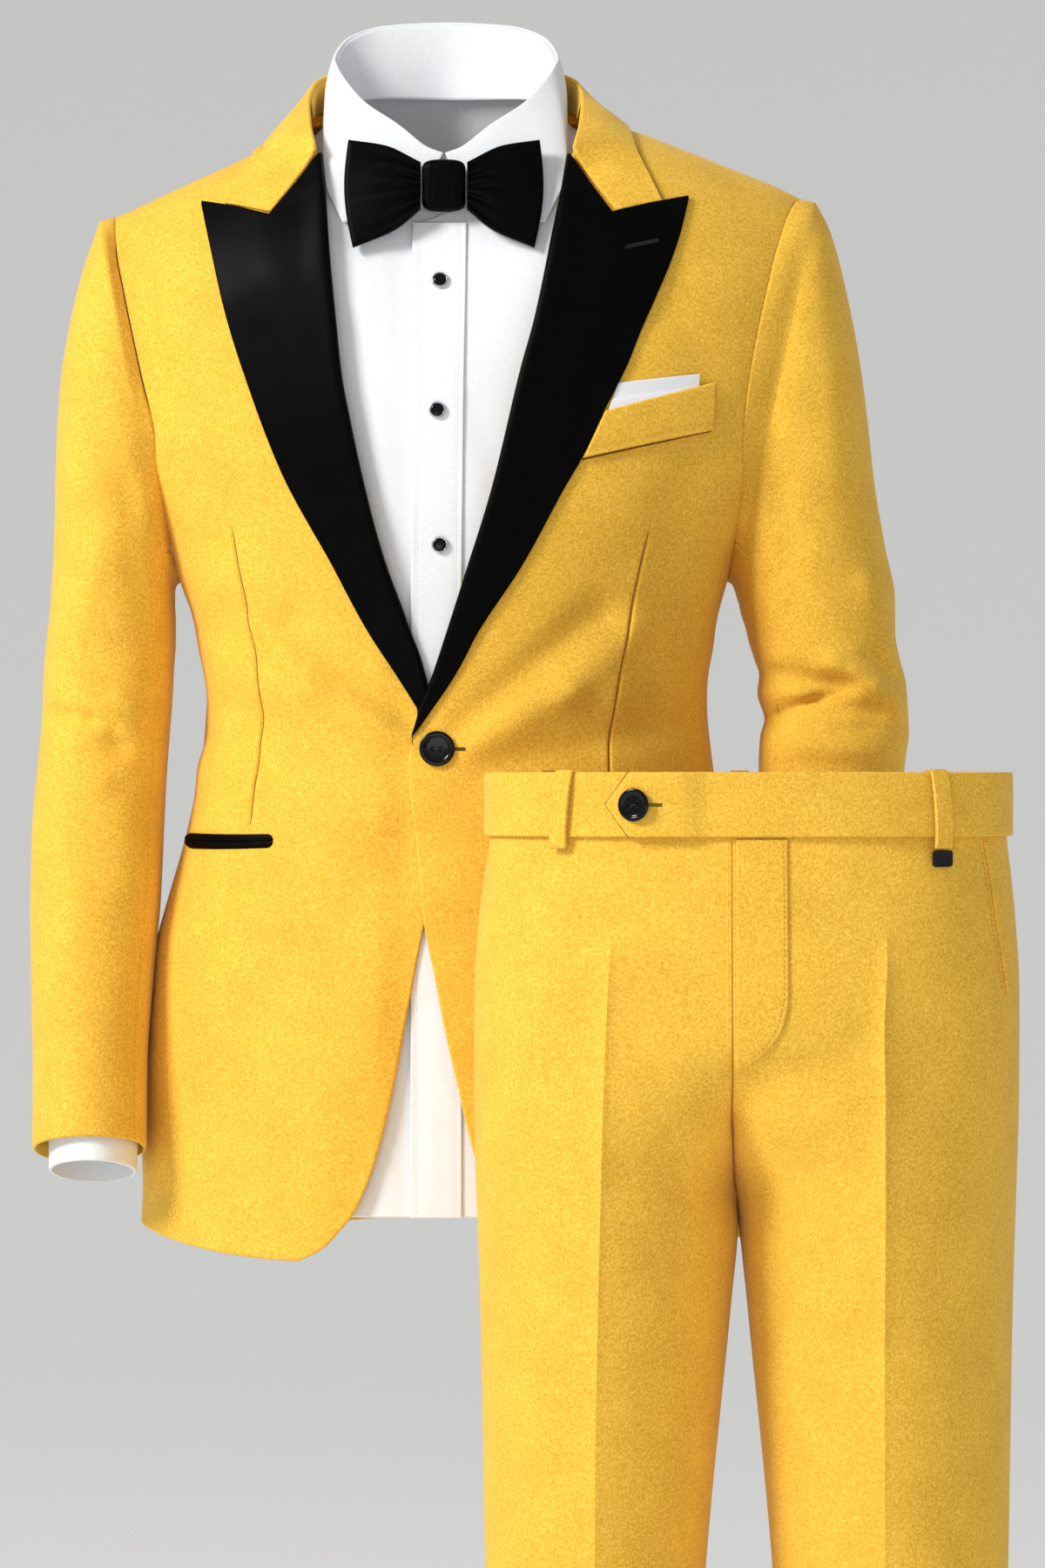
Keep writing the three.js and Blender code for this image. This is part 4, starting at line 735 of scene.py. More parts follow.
def row_height(row, top, hem, armpit):
    low = np.floor(row).astype(int)
    high = np.minimum(low + 1, HEM_ROW)
    return mix(level_height(low, top, hem, armpit), level_height(high, top, hem, armpit), row - low)


def torso_panel(side, face, rows, shares, inner, armpit, inset, hem, under=None, neck=None, dart=None):
    """Points and normals of one panel. With a dart, half the columns lie on each side of its line."""
    sign = SIGN[side]
    row, share = np.meshgrid(rows, shares, indexing="ij")
    turn = sign * share
    z = 0 * turn
    for _ in range(PLACING_PASSES):
        x = torso_point(face, turn, z)[..., 0]
        top = ridge(face, x)
        if neck is not None:
            top = np.where(np.abs(x) < NECK_HALF, neck.at(x, "z"), top)
        z = mix(z, row_height(row, top, hem(x), armpit), PLACING_STEP)
        armhole_z = np.maximum(z - (armpit - ARMPIT_Z), ARMPIT_Z)
        seam_x = mix(SHOULDER_END[side], ARMHOLE.at(armhole_z, side), np.clip(row, 0, 1))
        end = np.where(row >= ARMPIT_ROW, sign * math.pi / 2, turn_of(seam_x, z))
        start = turn_of(inner(z), z)
        place = share
        if dart is not None:
            at_dart = np.clip((turn_of(dart.at(z, "x"), z) - start) / (end - start), 0.1, 0.9)
            place = np.where(share < 0.5, share * 2 * at_dart, mix(at_dart, 1, share * 2 - 1))
        turn = mix(start, end, place)
    normals = torso_normal(face, turn, z)
    points = torso_point(face, turn, z)
    depth = -inset + (under(points[..., 0]) if under else 0 * turn)
    return points + normals * depth[..., None], normals


def hem_of(x):
    return HEM.at(x, "z")


def back_hem(x):
    return mix(BACK_HEM_Z, hem_of(x), smooth(np.abs(x - JACKET_MID_X) / BACK_HEM_REACH))


# The darts of the jacket's fronts, with the lines that carry on above and below them
DART = {
    "right": Table(["z", "x"], [
        [-40, -150], [-263.5, -147.2], [-283.3, -143.2], [-306.6, -138], [-337, -131], [-369.2, -125.4],
        [-397.9, -123.6], [-426.6, -124.5], [-466.4, -129.1], [-487.4, -131.4], [-600, -134], [-768, -150],
    ]),
    "left": Table(["z", "x"], [
        [-40, 158], [-266.5, 141.3], [-300, 133], [-335, 125], [-368.4, 118.4], [-395.2, 114.6],
        [-422.1, 112.2], [-440.1, 111], [-490, 110.5], [-600, 116], [-768, 150],
    ]),
}
DART_ENDS = {"right": (-263.5, -482), "left": (-266.5, -490)}
DART_DEPTH = 1.8
DART_WIDTH = 1.0
DART_SWELL = 0.9
DART_SWELL_SPREAD = 9
DART_TOP_FADE = 26
DART_FOOT_FADE = 8

# Pulls and soft hollows of the body, along lines of the front view: more near the closed button and waist
FRONT_FOLDS = Table(FOLD_COLUMNS, [
    [-24, -408, -104, -340, -4.2, 10],
    [-26, -419, -87, -385, 4.4, 9],
    [-87, -385, -124, -342, 4.2, 10],
    [-34, -434, -150, -398, -3.4, 12],
    [-40, -456, -166, -440, 2.0, 14],
    [-20, -462, -138, -508, 2.4, 20],
    [-34, -500, -112, -600, -2.2, 26],
    [-176, -352, -104, -392, 2.2, 15],
    [-178, -410, -126, -440, -2.0, 12],
    [-196, -235, -158, -330, 3.4, 16],
    [-176, -190, -146, -280, -2.6, 18],
    [-118, -560, -168, -715, -2.6, 34],
    [-60, -600, -84, -740, 2.2, 26],
    [-196, -560, -206, -700, 2.4, 22],
    [14, -410, 104, -334, -4.4, 11],
    [20, -424, 84, -388, 4.2, 11],
    [84, -388, 132, -344, 4.0, 12],
    [30, -440, 160, -408, -3.6, 13],
    [30, -466, 150, -520, 2.2, 20],
    [196, -240, 164, -330, 3.4, 16],
    [178, -196, 150, -284, -2.4, 18],
    [172, -356, 108, -392, 2.0, 14],
    [150, -120, 178, -170, -1.6, 20],
    [-150, -110, -180, -180, -1.8, 22],
])
BACK_FOLDS = Table(FOLD_COLUMNS, [
    [-170, -215, -110, -330, 3.4, 20],
    [-188, -240, -150, -345, -3.0, 14],
    [186, -215, 128, -330, 3.6, 20],
    [200, -245, 165, -340, -3.0, 14],
    [-120, -372, -20, -392, -2.6, 13],
    [24, -368, 130, -396, 2.6, 14],
    [-60, -420, 90, -434, 2.4, 14],
    [-150, -440, -60, -470, -2.2, 15],
    [60, -470, 160, -455, -2.4, 15],
    [-90, -560, -120, -700, 2.6, 30],
    [100, -560, 130, -700, 2.6, 32],
    [8, -110, 10, -230, -2.0, 26],
    [-50, -560, -58, -730, -2.0, 24],
    [60, -580, 64, -730, -2.0, 24],
])

ROLL_FOOT_Z = -424
ROLL_FOOT_SPAN = 24
ROLL_COVER = 3.0
BODY_ROWS = np.concatenate([
    [0, 0.12, 0.3], np.linspace(0.6, 9.8, 64), np.linspace(10, 18.6, 88), [18.75, 18.86, 18.93, 18.97, 19],
])
FOLD_FADE = 60
SEAM_DIP = 0.35
SEAM_DIP_SPREAD = 5


def front_edge(side, z):
    """The cloth's edge, drawn back a little where the satin turns over it."""
    above = smooth((z - ROLL_FOOT_Z) / ROLL_FOOT_SPAN)
    return FRONT_EDGE[side].at(z, "x") + SIGN[side] * ROLL_COVER * above


def centre_back(z):
    return JACKET_MID_X + 0 * z


def shirt_hem(x):
    return SHIRT_TAIL_Z + 0 * x


def dart_height(side, x, z):
    """The groove of a dart with the cloth a little full beside it, fading at both ends."""
    top, foot = DART_ENDS[side]
    shown = smooth((top - z) / DART_TOP_FADE) * smooth((z - foot) / DART_FOOT_FADE)
    off = np.abs(x - DART[side].at(z, "x"))
    swell = DART_SWELL * np.exp(-(off / DART_SWELL_SPREAD) ** 2)
    return shown * (swell - DART_DEPTH * np.exp(-(off / DART_WIDTH) ** 2))


def jacket_panel(side, face):
    front = face < 0
    if front:
        points, normals = torso_panel(
            side, face, BODY_ROWS, crowded_halves(26, 0.012), lambda z: front_edge(side, z), ARMPIT_Z, 0,
            hem_of, under=lambda x: underlap(side, x), dart=DART[side],
        )
    else:
        points, normals = torso_panel(
            side, face, BODY_ROWS, crowded(44, 0.008), centre_back, ARMPIT_Z, 0, back_hem,
            neck=BACK_NECK["jacket"],
        )
    x = points[..., 0]
    z = points[..., 2]
    height = segments_height(FRONT_FOLDS if front else BACK_FOLDS, x, z)
    height = height * smooth((ridge(face, x) - z) / FOLD_FADE)
    if front:
        height = height + dart_height(side, x, z)
    across = lengths_along(points, 1)
    dip = SEAM_DIP * np.exp(-(across[:, -1:] - across) / SEAM_DIP_SPREAD)
    fall = edge_fall(points, EDGE_ROLL if front else SEAM_ROLL, SEAM_ROLL, SEAM_ROLL, EDGE_ROLL)
    outer = points + normals * (height - fall - dip)[..., None]
    inner = points + normals * (height - WOOL)[..., None]
    part = f"{'front' if front else 'back'}_{side}"
    cloth(f"jacket_{part}", outer, inner, normals, "wool", "draped", [f"shirt_{part}"])


for side in SIDES:
    for face in (-1, 1):
        jacket_panel(side, face)


# Sleeves
SLEEVE = {
    "right": Table(["ring", "outerX", "outerZ", "innerX", "innerZ", "midY", "depth", "pitch"], [
        [1, -237, -64, -185.5, -313.5, 0, 65, 0],
        [2, -244, -80, -186.5, -318, 0, 67, 0],
        [3, -251, -102, -186.5, -323, 0, 68, 0],
        [4, -259, -136, -186.5, -329, 0, 68, 0],
        [5, -265, -176, -186, -336, 0, 68, 0],
        [6, -268, -226, -186, -344, 0, 67, 0],
        [7, -269, -276, -186, -354, -1, 65, 0],
        [8, -271.5, -325, -187, -370, -2, 63, 0],
        [9, -276, -370, -188, -392, -4, 61, 0],
        [10, -277, -402, -189.5, -413, -6, 60, 1],
        [11, -280, -440, -191.5, -444, -10, 58, 3],
        [12, -283, -480, -193, -482, -16, 56, 6],
        [13, -283.5, -525, -194.5, -527, -24, 54, 9],
        [14, -282, -580, -198.5, -580, -36, 51.5, 12],
        [15, -279.5, -640, -202, -640, -50, 49, 14],
        [16, -278.5, -698, -201.5, -696, -64, 46.5, 15],
    ]),
    "left": Table(["ring", "outerX", "outerZ", "innerX", "innerZ", "midY", "depth", "pitch"], [
        [1, 253, -51, 197.5, -313, 0, 65, 0],
        [2, 262, -64, 199, -317, 0, 67, 0],
        [3, 269.5, -86, 200.5, -322, 0, 68, 0],
        [4, 277, -118, 202, -327, 0, 68, 0],
        [5, 284, -154, 203, -332, 0, 68, 0],
        [6, 290, -198, 204.5, -337, 0, 67, 0],
        [7, 295, -244, 206.5, -343, -1, 66, 0],
        [8, 302, -286, 208, -350, -2, 64, 0],
        [9, 309, -322, 210, -357, -3, 62, 0],
        [10, 309, -345, 212.5, -365, -4, 61, 0],
        [11, 312, -364, 215.5, -375, -5, 60, 0],
        [12, 316.5, -382, 214.3, -388, -6, 59, 1],
        [13, 317.5, -400, 219, -405, -8, 59, 1],
        [14, 318, -416, 216, -418, -10, 58, 2],
        [15, 315, -438, 215, -438, -12, 57, 3],
        [16, 313, -480, 218, -480, -18, 56, 6],
        [17, 313, -530, 223, -530, -27, 54, 9],
        [18, 314, -585, 229, -585, -38, 51.5, 12],
        [19, 314, -640, 234, -640, -50, 49, 14],
        [20, 314, -698, 238, -696, -64, 46.5, 15],
    ]),
}

SLEEVE_FOLDS = {
    "right": Table(FOLD_COLUMNS, [
        [-235, -296, -269, -383, 3, 16],
        [-264, -404, -221, -424, -3.5, 9],
        [-223, -424, -202, -434, -2.5, 8],
    ]),
    "left": Table(FOLD_COLUMNS, [
        [218, -409, 262, -388, -4, 9],
        [262, -370, 314, -401, 4.5, 9],
        [229, -376, 273, -383, -4, 7],
        [254, -397, 294, -401, -4, 7],
        [288, -316, 308, -362, 3, 10],
        [218, -424, 300, -428, 2.5, 9],
    ]),
}

# Finer creases of the sleeves, and their like on the far side of the arm
FINE_FOLDS = {
    "right": Table(FOLD_COLUMNS, [
        [-256, -150, -246, -250, 1.5, 13],
        [-214, -250, -206, -350, -1.6, 10],
        [-262, -330, -232, -352, 1.2, 9],
        [-218, -392, -194, -404, 1.6, 7],
        [-262, -402, -240, -406, -2.2, 5],
        [-240, -406, -224, -412, -1.8, 5],
        [-264, -410, -232, -414, 1.6, 6],
        [-268, -436, -236, -452, 1.7, 9],
        [-216, -452, -196, -462, -1.6, 8],
        [-250, -520, -246, -660, 1.2, 14],
        [-216, -540, -214, -680, -1.0, 12],
    ]),
    "left": Table(FOLD_COLUMNS, [
        [262, -120, 268, -240, 1.4, 13],
        [226, -250, 236, -330, -1.6, 10],
        [217, -407, 257, -390, -2.0, 3.4],
        [219, -413, 262, -396, 1.6, 5],
        [238, -391, 262, -385, 1.3, 4],
        [278, -374, 293, -383, 1.5, 5],
        [293, -383, 311, -400, 1.8, 5],
        [290, -362, 318, -388, -3.2, 6],
        [223, -413, 229, -426, -1.8, 4],
        [286, -410, 312, -412, -1.6, 7],
    ]),
}
BACK_SLEEVE_FOLDS = {
    "right": Table(FOLD_COLUMNS, [
        [-262, -180, -248, -300, 1.8, 14],
        [-266, -388, -228, -404, -2.2, 9],
        [-232, -410, -204, -420, 2.2, 9],
        [-262, -434, -226, -446, 1.8, 10],
        [-214, -300, -202, -370, -1.8, 9],
    ]),
    "left": Table(FOLD_COLUMNS, [
        [280, -180, 274, -300, 1.8, 14],
        [236, -372, 290, -366, -2.6, 8],
        [228, -392, 286, -396, 2.6, 8],
        [240, -416, 300, -412, -2.0, 9],
        [226, -300, 232, -350, -1.8, 9],
    ]),
}
SLEEVE_ROUNDNESS = 0.92
FOLD_SHARPNESS = 1.6
FOLD_GAIN = 1.45
SEAM_TURN_FROM = 0.1
SEAM_TURN_SPAN = 0.6
SLEEVE_SEAM_ROW = 9.12
SLEEVE_SEAM_SPREAD = [0.11, 0.07, 0.04, 0.018, 0]
SEAM_DEPTH = 1.1
SEAM_WIDTH = 0.75
HEAD_SWELL = 1.6
HEAD_SWELL_AT = 9
HEAD_SWELL_SPREAD = 8
HEAD_SWELL_REACH = 0.35
HEAD_PLACES = np.array([0.0, 0.04, 0.09, 0.16, 0.27, 0.42, 0.6, 0.8])
SLEEVE_ROWS = 196
SLEEVE_HEM_SPAN = 0.12
SLEEVE_HEM_PLACES = np.array([0.06, 0.03, 0.012, 0])
ARMHOLE_START = 60
ARMHOLE_ROWS = np.sort(np.concatenate([
    [0, 0.3], np.linspace(0.8, 8.8, 31), [9.5, 9.75, 10], SLEEVE_SEAM_ROW - np.array(SLEEVE_SEAM_SPREAD),
    SLEEVE_SEAM_ROW + np.array(SLEEVE_SEAM_SPREAD[:-1]),
]))


def armhole_loop(side, inset, armpit):
    """The ring of points round the armhole, down the front and up the back, with their normals."""
    rings = []
    for face in (-1, 1):
        points, normals = torso_panel(
            side, face, ARMHOLE_ROWS, np.array([0.5, 1.0]),
            lambda z: centre_back(z) + SIGN[side] * ARMHOLE_START, armpit, inset, shirt_hem,
        )
        rings.append((points[:, -1], normals[:, -1]))
    (front, front_normals), (back, back_normals) = rings
    points = np.concatenate([front, back[1:-1][::-1]])
    normals = np.concatenate([front_normals, back_normals[1:-1][::-1]])
    points[[0, len(ARMHOLE_ROWS) - 1], 1] = 0
    return points, normals


def ring_angles(heights):
    middle = (heights[0] + heights[-1]) / 2
    half = (heights[0] - heights[-1]) / 2
    down = np.arccos(np.clip((heights - middle) / half, -1, 1))
    return np.concatenate([down, 2 * math.pi - down[1:-1][::-1]])


def sleeve_rings(side, places, angles):
    read = {name: SLEEVE[side].at(places, name)[:, None] for name in SLEEVE[side].values}
    outer = xyz(read["outerX"], read["midY"], read["outerZ"])
    inner = xyz(read["innerX"], read["midY"], read["innerZ"])
    centre = (outer + inner) / 2
    pitch = np.radians(read["pitch"])
    forward = xyz(0 * pitch, -np.cos(pitch), np.sin(pitch))
    across = signed_power(np.cos(angles), SLEEVE_ROUNDNESS)[None, :, None]
    ahead = signed_power(np.sin(angles), SLEEVE_ROUNDNESS)[None, :, None]
    points = centre + (outer - inner) / 2 * across + forward * read["depth"][..., None] * ahead
    x = points[..., 0]
    z = points[..., 2]
    front = segments_height(SLEEVE_FOLDS[side], x, z) + segments_height(FINE_FOLDS[side], x, z)
    back = segments_height(BACK_SLEEVE_FOLDS[side], x, z)
    facing = np.clip(np.sin(angles) * FOLD_SHARPNESS, 0, 1)
    behind = np.clip(-np.sin(angles) * FOLD_SHARPNESS, 0, 1)
    return points + forward * ((front * facing - back * behind) * FOLD_GAIN)[..., None], centre


def jacket_sleeve(side):
    """Builds a sleeve from its armhole to its hem, and gives its points, normals and ring angles."""
    loop, loop_normals = armhole_loop(side, 0, ARMPIT_Z)
    angles = ring_angles(loop[:len(ARMHOLE_ROWS), 2])
    last = len(SLEEVE[side].rows)
    places = np.concatenate([np.linspace(1, last - SLEEVE_HEM_SPAN, SLEEVE_ROWS), last - SLEEVE_HEM_PLACES])
    rings, centres = sleeve_rings(side, places, angles)
    head = mix(loop[None], rings[:1], HEAD_PLACES[:, None, None])
    size = len(head)
    points = np.concatenate([head, rings])
    centre = np.concatenate([np.repeat(centres[:1], size, axis=0), centres])
    normals = grid_normals(points, True, points - centre)
    blend = smooth((dot(normals[:size], loop_normals[None]) + SEAM_TURN_FROM) / SEAM_TURN_SPAN)
    blend = blend * np.linspace(1, 0, size)[:, None]
    normals[:size] = unit(mix(normals[:size], loop_normals[None], blend[..., None]))
    along = lengths_along(points, 0)
    swell = HEAD_SWELL * np.exp(-((along - HEAD_SWELL_AT) / HEAD_SWELL_SPREAD) ** 2)
    swell = swell * np.clip(np.cos(angles) + HEAD_SWELL_REACH, 0, 1)
    seam = np.searchsorted(ARMHOLE_ROWS, SLEEVE_SEAM_ROW)
    off = lengths_along(points, 1)
    for column in (seam, len(angles) - seam):
        swell = swell - SEAM_DEPTH * np.exp(-((off - off[:, column:column + 1]) / SEAM_WIDTH) ** 2)
    outer = points + normals * (swell - edge_fall(points, top=SEAM_ROLL, bottom=EDGE_ROLL))[..., None]
    cloth(f"jacket_sleeve_{side}", outer, points - normals * WOOL, normals, "wool", "hung",
          [f"jacket_front_{side}"], closed=True)
    return points, normals, angles


jacket_sleeves = {side: jacket_sleeve(side) for side in SIDES}


# Lapels
LAPEL_TOP = {
    "right": [[-84.5, -25], [-101, -46.5], [-117.9, -67.9], [-141, -60.8], [-164, -55.6]],
    "left": [[84.5, -26], [99, -46], [113.5, -67.1], [139, -59.8], [164.2, -53.6]],
}
LAPEL_BOTTOM = {"right": (-402, -405), "left": (-422.5, -424)}
LAPEL_EDGE = {
    "right": Table(["z", "x"], [
        [-58.3, -164.3], [-95, -155.5], [-126, -148.3], [-152, -141], [-179, -132], [-220, -117],
        [-250, -104], [-302, -75], [-346, -51.5], [-369, -37], [-400, -17.5],
    ]),
    "left": Table(["z", "x"], [
        [-56.6, 164.4], [-80, 158.6], [-100, 152], [-124, 142], [-148, 131.5], [-170, 122.8], [-201, 107.3],
        [-233, 92.2], [-253, 80.6], [-304, 52.8], [-351, 22.1], [-369, 12.9], [-402, -6.8], [-419, -19],
    ]),
}
LAPEL_ROLL = {
    "right": Table(["z", "x"], [
        [-25, -84.5], [-55, -81.5], [-94, -78.5], [-137, -74], [-178, -69.5], [-207, -64], [-253, -54],
        [-300, -41.5], [-343, -26.5], [-380, -15], [-397, -14.6],
    ]),
    "left": Table(["z", "x"], [
        [-26, 85], [-51, 81], [-79, 75.5], [-115, 68.5], [-144, 62], [-171, 54.5], [-254, 34.5], [-312, 16.5],
        [-369, -1.8], [-405, -14], [-417, -19.2],
    ]),
}
LAPEL_CORNER = 4
LAPEL_TURN_Z = -372
LAPEL_TURN_SPAN = 30
LAPEL_HIDDEN = 7.0
LAPEL_TIP = 1.6
LAPEL_CROWDING = 1.15
LAPEL_EDGE_ROLL = 1.3
LAPEL_FOLD_ROLL = 4.4
ROLL_HEIGHT = 4.5
ROLL_START = 0.12
ROLL_SPAN = 0.8
ROLL_OVER = 2.6
ROLL_OVER_SPAN = 0.06
LAPEL_FOLDS = Table(FOLD_COLUMNS, [
    [-112, -110, -74, -235, 0.9, 13],
    [-120, -150, -86, -262, -0.6, 10],
    [-56, -270, -30, -350, 0.6, 9],
    [112, -105, 74, -205, 0.9, 13],
    [122, -140, 88, -228, -0.6, 10],
    [52, -260, 14, -350, 0.7, 9],
])


def lapel(side):
    top = np.array(LAPEL_TOP[side], dtype=float)
    roll_foot, edge_foot = LAPEL_BOTTOM[side]
    down = crowded(96, 0.004)[:, None]
    across = crowded_halves(12, 0.02)[None]
    roll_z = mix(top[0, 1], roll_foot, down ** LAPEL_CROWDING)
    edge_z = mix(top[-1, 1], edge_foot, down ** LAPEL_CROWDING)
    roll_x = LAPEL_ROLL[side].at(roll_z, "x") - SIGN[side] * ROLL_OVER * smooth((1 - down) / ROLL_OVER_SPAN)
    edge_x = LAPEL_EDGE[side].at(edge_z, "x")
    lower = smooth((LAPEL_TURN_Z - roll_z) / LAPEL_TURN_SPAN)
    if side == "right":
        roll_x = roll_x + LAPEL_HIDDEN * lower
    else:
        roll_x = roll_x - LAPEL_TIP * lower
        edge_x = edge_x - LAPEL_TIP * lower
    corner = np.clip(1 - down * LAPEL_CORNER, 0, 1)
    marks = np.linspace(0, 1, len(top))
    bent = [np.interp(across, marks, top[:, k]) - mix(top[0, k], top[-1, k], across) for k in (0, 1)]
    x = mix(roll_x, edge_x, across) + bent[0] * corner
    z = mix(roll_z, edge_z, across) + bent[1] * corner
    stand = ROLL_HEIGHT * np.sin(math.pi * np.clip(ROLL_START + down * ROLL_SPAN, 0, 1))
    lift = SATIN_LIFT + underlap(side, x) + stand * (1 - across) ** 2
    flat = on_front(x, z, lift + WOOL)
    fall = edge_fall(flat, LAPEL_FOLD_ROLL, LAPEL_EDGE_ROLL, LAPEL_EDGE_ROLL, LAPEL_EDGE_ROLL)
    height = lift + WOOL + segments_height(LAPEL_FOLDS, x, z) - fall
    inner = on_front(x, z, np.minimum(height - 0.4, lift + 0.6 * (1 - across)))
    cloth(f"lapel_{side}", on_front(x, z, height), inner, front_facing(x, z), "satin", "folded",
          [f"jacket_front_{side}"])


for side in SIDES:
    lapel(side)


# Collars: the fall turns over at its fold and goes on as the stand inside
COLLAR = Table([
    "station", "foldX", "foldY", "foldZ", "edgeX", "edgeY", "edgeZ", "footX", "footY", "footZ",
], [
    [0, 117.4, None, -65.9, 146.5, None, -58.6, 0, 0, 0],
    [1, 106, None, -51.0, 140, None, -44, 0, 0, 0],
    [2, 95, None, -36.4, 134, None, -31, 0, 0, 0],
    [3, 89, -78, -20, 129.5, None, -20, 0, 0, 0],
    [4, 93, -52, 1, 126.5, -30, None, 0, 0, 0],
    [5, 95, -22, 19, 123, -6, None, 90.5, -24, 5],
    [6, 92.5, 12, 34, 115, 24, None, 91, 9, 11],
    [7, 82, 44, 44, 98, 53, 6, 84, 34, 15],
    [8, 58, 70, 50, 68, 77, 12, 64, 57, 20],
    [9, 30, 84, 53, 35, 90, 16, 34, 71, 23],
    [10, 0, 88, 54, 0, 94, 17, 0, 76, 24.5],
])
FALL_LIFT = 1.2
FALL_BULGE = 3
FALL_BULGE_FADE = 3
FALL_ROLL = 1.2
FALL_WALL = 1.3
FOLD_TURN_COLUMNS = 9


def rolled_columns(edge, towards, normal, radius):
    """Columns that turn a fold over, from a face's edge round to its back."""
    angle = np.linspace(math.pi, 0, FOLD_TURN_COLUMNS, endpoint=False)[None, :, None]
    out = towards[:, None] * radius * np.sin(angle)
    return edge[:, None] + out - normal[:, None] * radius * (1 - np.cos(angle))


def turned_fall(node_name, face, radius, roll, wall, height, material, rests_on):
    """A collar's fall: its face, and the fold that turns over to the inside. Gives the fold's columns."""
    normals = grid_normals(face, False, face * [1, 1, 0] + [0, 0, height])
    turned = rolled_columns(face[:, 0], unit(face[:, 0] - face[:, 1]), normals[:, 0], radius)
    points = np.concatenate([turned, face], axis=1)
    normals = grid_normals(points, False, np.concatenate([0 * turned, normals], axis=1))
    outer = points - normals * edge_fall(points, right=roll, top=roll, bottom=roll)[..., None]
    cloth(node_name, outer, points - normals * wall, normals, material, "folded", rests_on)
    return turned


def through(points, places, straight_to=0):
    """Points read smoothly between stations, and straight between those of both ends up to a station."""
    stations = np.arange(len(points), dtype=float)
    table = Table(["station", "x", "y", "z"], [[station, *point] for station, point in zip(stations, points)])
    curved = np.stack([table.at(places, name) for name in "xyz"], axis=-1)
    if not straight_to:
        return curved
    linear = np.stack([np.interp(places, stations, points[:, k]) for k in range(3)], axis=-1)
    near_end = (places < straight_to) | (places > stations[-1] - straight_to)
    return np.where(near_end[:, None], linear, curved)


def mirrored(steps):
    """The stations of one side's end, through the middle behind, to the other side's end."""
    return [(k, -1) if k <= steps else (2 * steps - k, 1) for k in range(2 * steps + 1)]


def collar_place(name, station, sign):
    row = COLLAR.rows[station]
    x, y, z = sign * row[f"{name}X"], row[f"{name}Y"], row[f"{name}Z"]
    if z is None:
        return resting_on(x, y, FALL_LIFT + WOOL)
    if y is None:
        return on_front(x, z, np.array(FALL_LIFT + WOOL))
    return np.array([x, y, z], dtype=float)


def jacket_collar():
    spots = mirrored(len(COLLAR.rows) - 1)
    end = len(spots) - 1
    places = np.unique(np.concatenate([
        [0, 0.03, 0.07, 0.13], np.linspace(0, end, 171), end - np.array([0.13, 0.07, 0.03]),
    ]))
    fold, edge, foot = (
        np.array([collar_place(name, *spot) for spot in spots]) for name in ("fold", "edge", "foot")
    )
    fold = through(fold, places, 2)
    s = np.concatenate([np.linspace(0, 0.9, 18), LEAF_EDGE_PLACES])
    face = mix(fold[:, None], through(edge, places, 2)[:, None], s[None, :, None])
    from_end = np.minimum(places, end - places)
    face[..., 2] += FALL_BULGE * smooth(from_end / FALL_BULGE_FADE)[:, None] * np.sin(math.pi * s)
    turned = turned_fall(
        "jacket_collar_fall", face, 1.7, FALL_ROLL, FALL_WALL, 120, "wool", ["jacket_collar_stand"],
    )
    behind = (places >= 5) & (places <= 15)
    t = np.linspace(0, 1, 16)
    stand = mix(turned[behind, :1], through(foot, places)[behind][:, None], t[None, :, None])
    normals = grid_normals(stand, False, stand * [1, 1, 0])
    cloth("jacket_collar_stand", stand + normals * 0.2, stand - normals, normals, "wool", "folded",
          ["jacket_back_right", "jacket_back_left"], cut=stand)


jacket_collar()


# What is sewn on the fronts
def quad_spots(corners, s, t):
    a, b, c, d = corners
    return [mix(mix(a[k], b[k], s), mix(d[k], c[k], s), t) for k in (0, 1)]


def patch(node_name, spots, lift, wall, rolls, material, wave=0):
    """A flat piece that lies on the jacket's front, at the spots x and z of the front view."""
    x, z = spots
    flat = on_front(x, z, lift + wall + 0 * x)
    normals = front_facing(x, z)
    outer = flat + normals * (wave - edge_fall(flat, *rolls))[..., None]
    cloth(node_name, outer, on_front(x, z, lift + 0 * x), normals, material, "folded", ["jacket_front_left"])


BESOM_OUTER_X = -176
BESOM_INNER_X = -113.5
BESOM_END = 4.2
BESOM_SAG = 0.5


def besom(part, top_z, foot_z, rolls):
    s = crowded(50, 0.01)[None]
    t = crowded(6, 0.06)[:, None]
    x = mix(BESOM_OUTER_X, BESOM_INNER_X, s) + 0 * t
    to_end = np.minimum(x - BESOM_OUTER_X, BESOM_INNER_X - x)
    narrow = BESOM_END - np.sqrt(BESOM_END ** 2 - np.clip(BESOM_END - to_end, 0, BESOM_END) ** 2)
    upper = part == "upper"
    z = mix(top_z - narrow * upper, foot_z + narrow * (not upper), t)
    patch(f"hip_besom_{part}", (x, z - BESOM_SAG * np.sin(math.pi * s)), 0.2, 2.5, rolls, "satin")


besom("upper", -483.4, -488.7, (1.6, 1.6, 2.2, 0.8))
besom("lower", -488.8, -493.8, (1.6, 1.6, 0.8, 2.2))

SQUARE_CORNERS = [[116.4, -182.3], [171.4, -175], [170.2, -196], [107.5, -207]]
WELT_CORNERS = [[107.6, -201.2], [181.2, -180.3], [180.1, -212.3], [92.8, -233]]
SQUARE_FOLD = 0.46
SQUARE_STEP = 0.9
WELT_GROOVE = 0.35


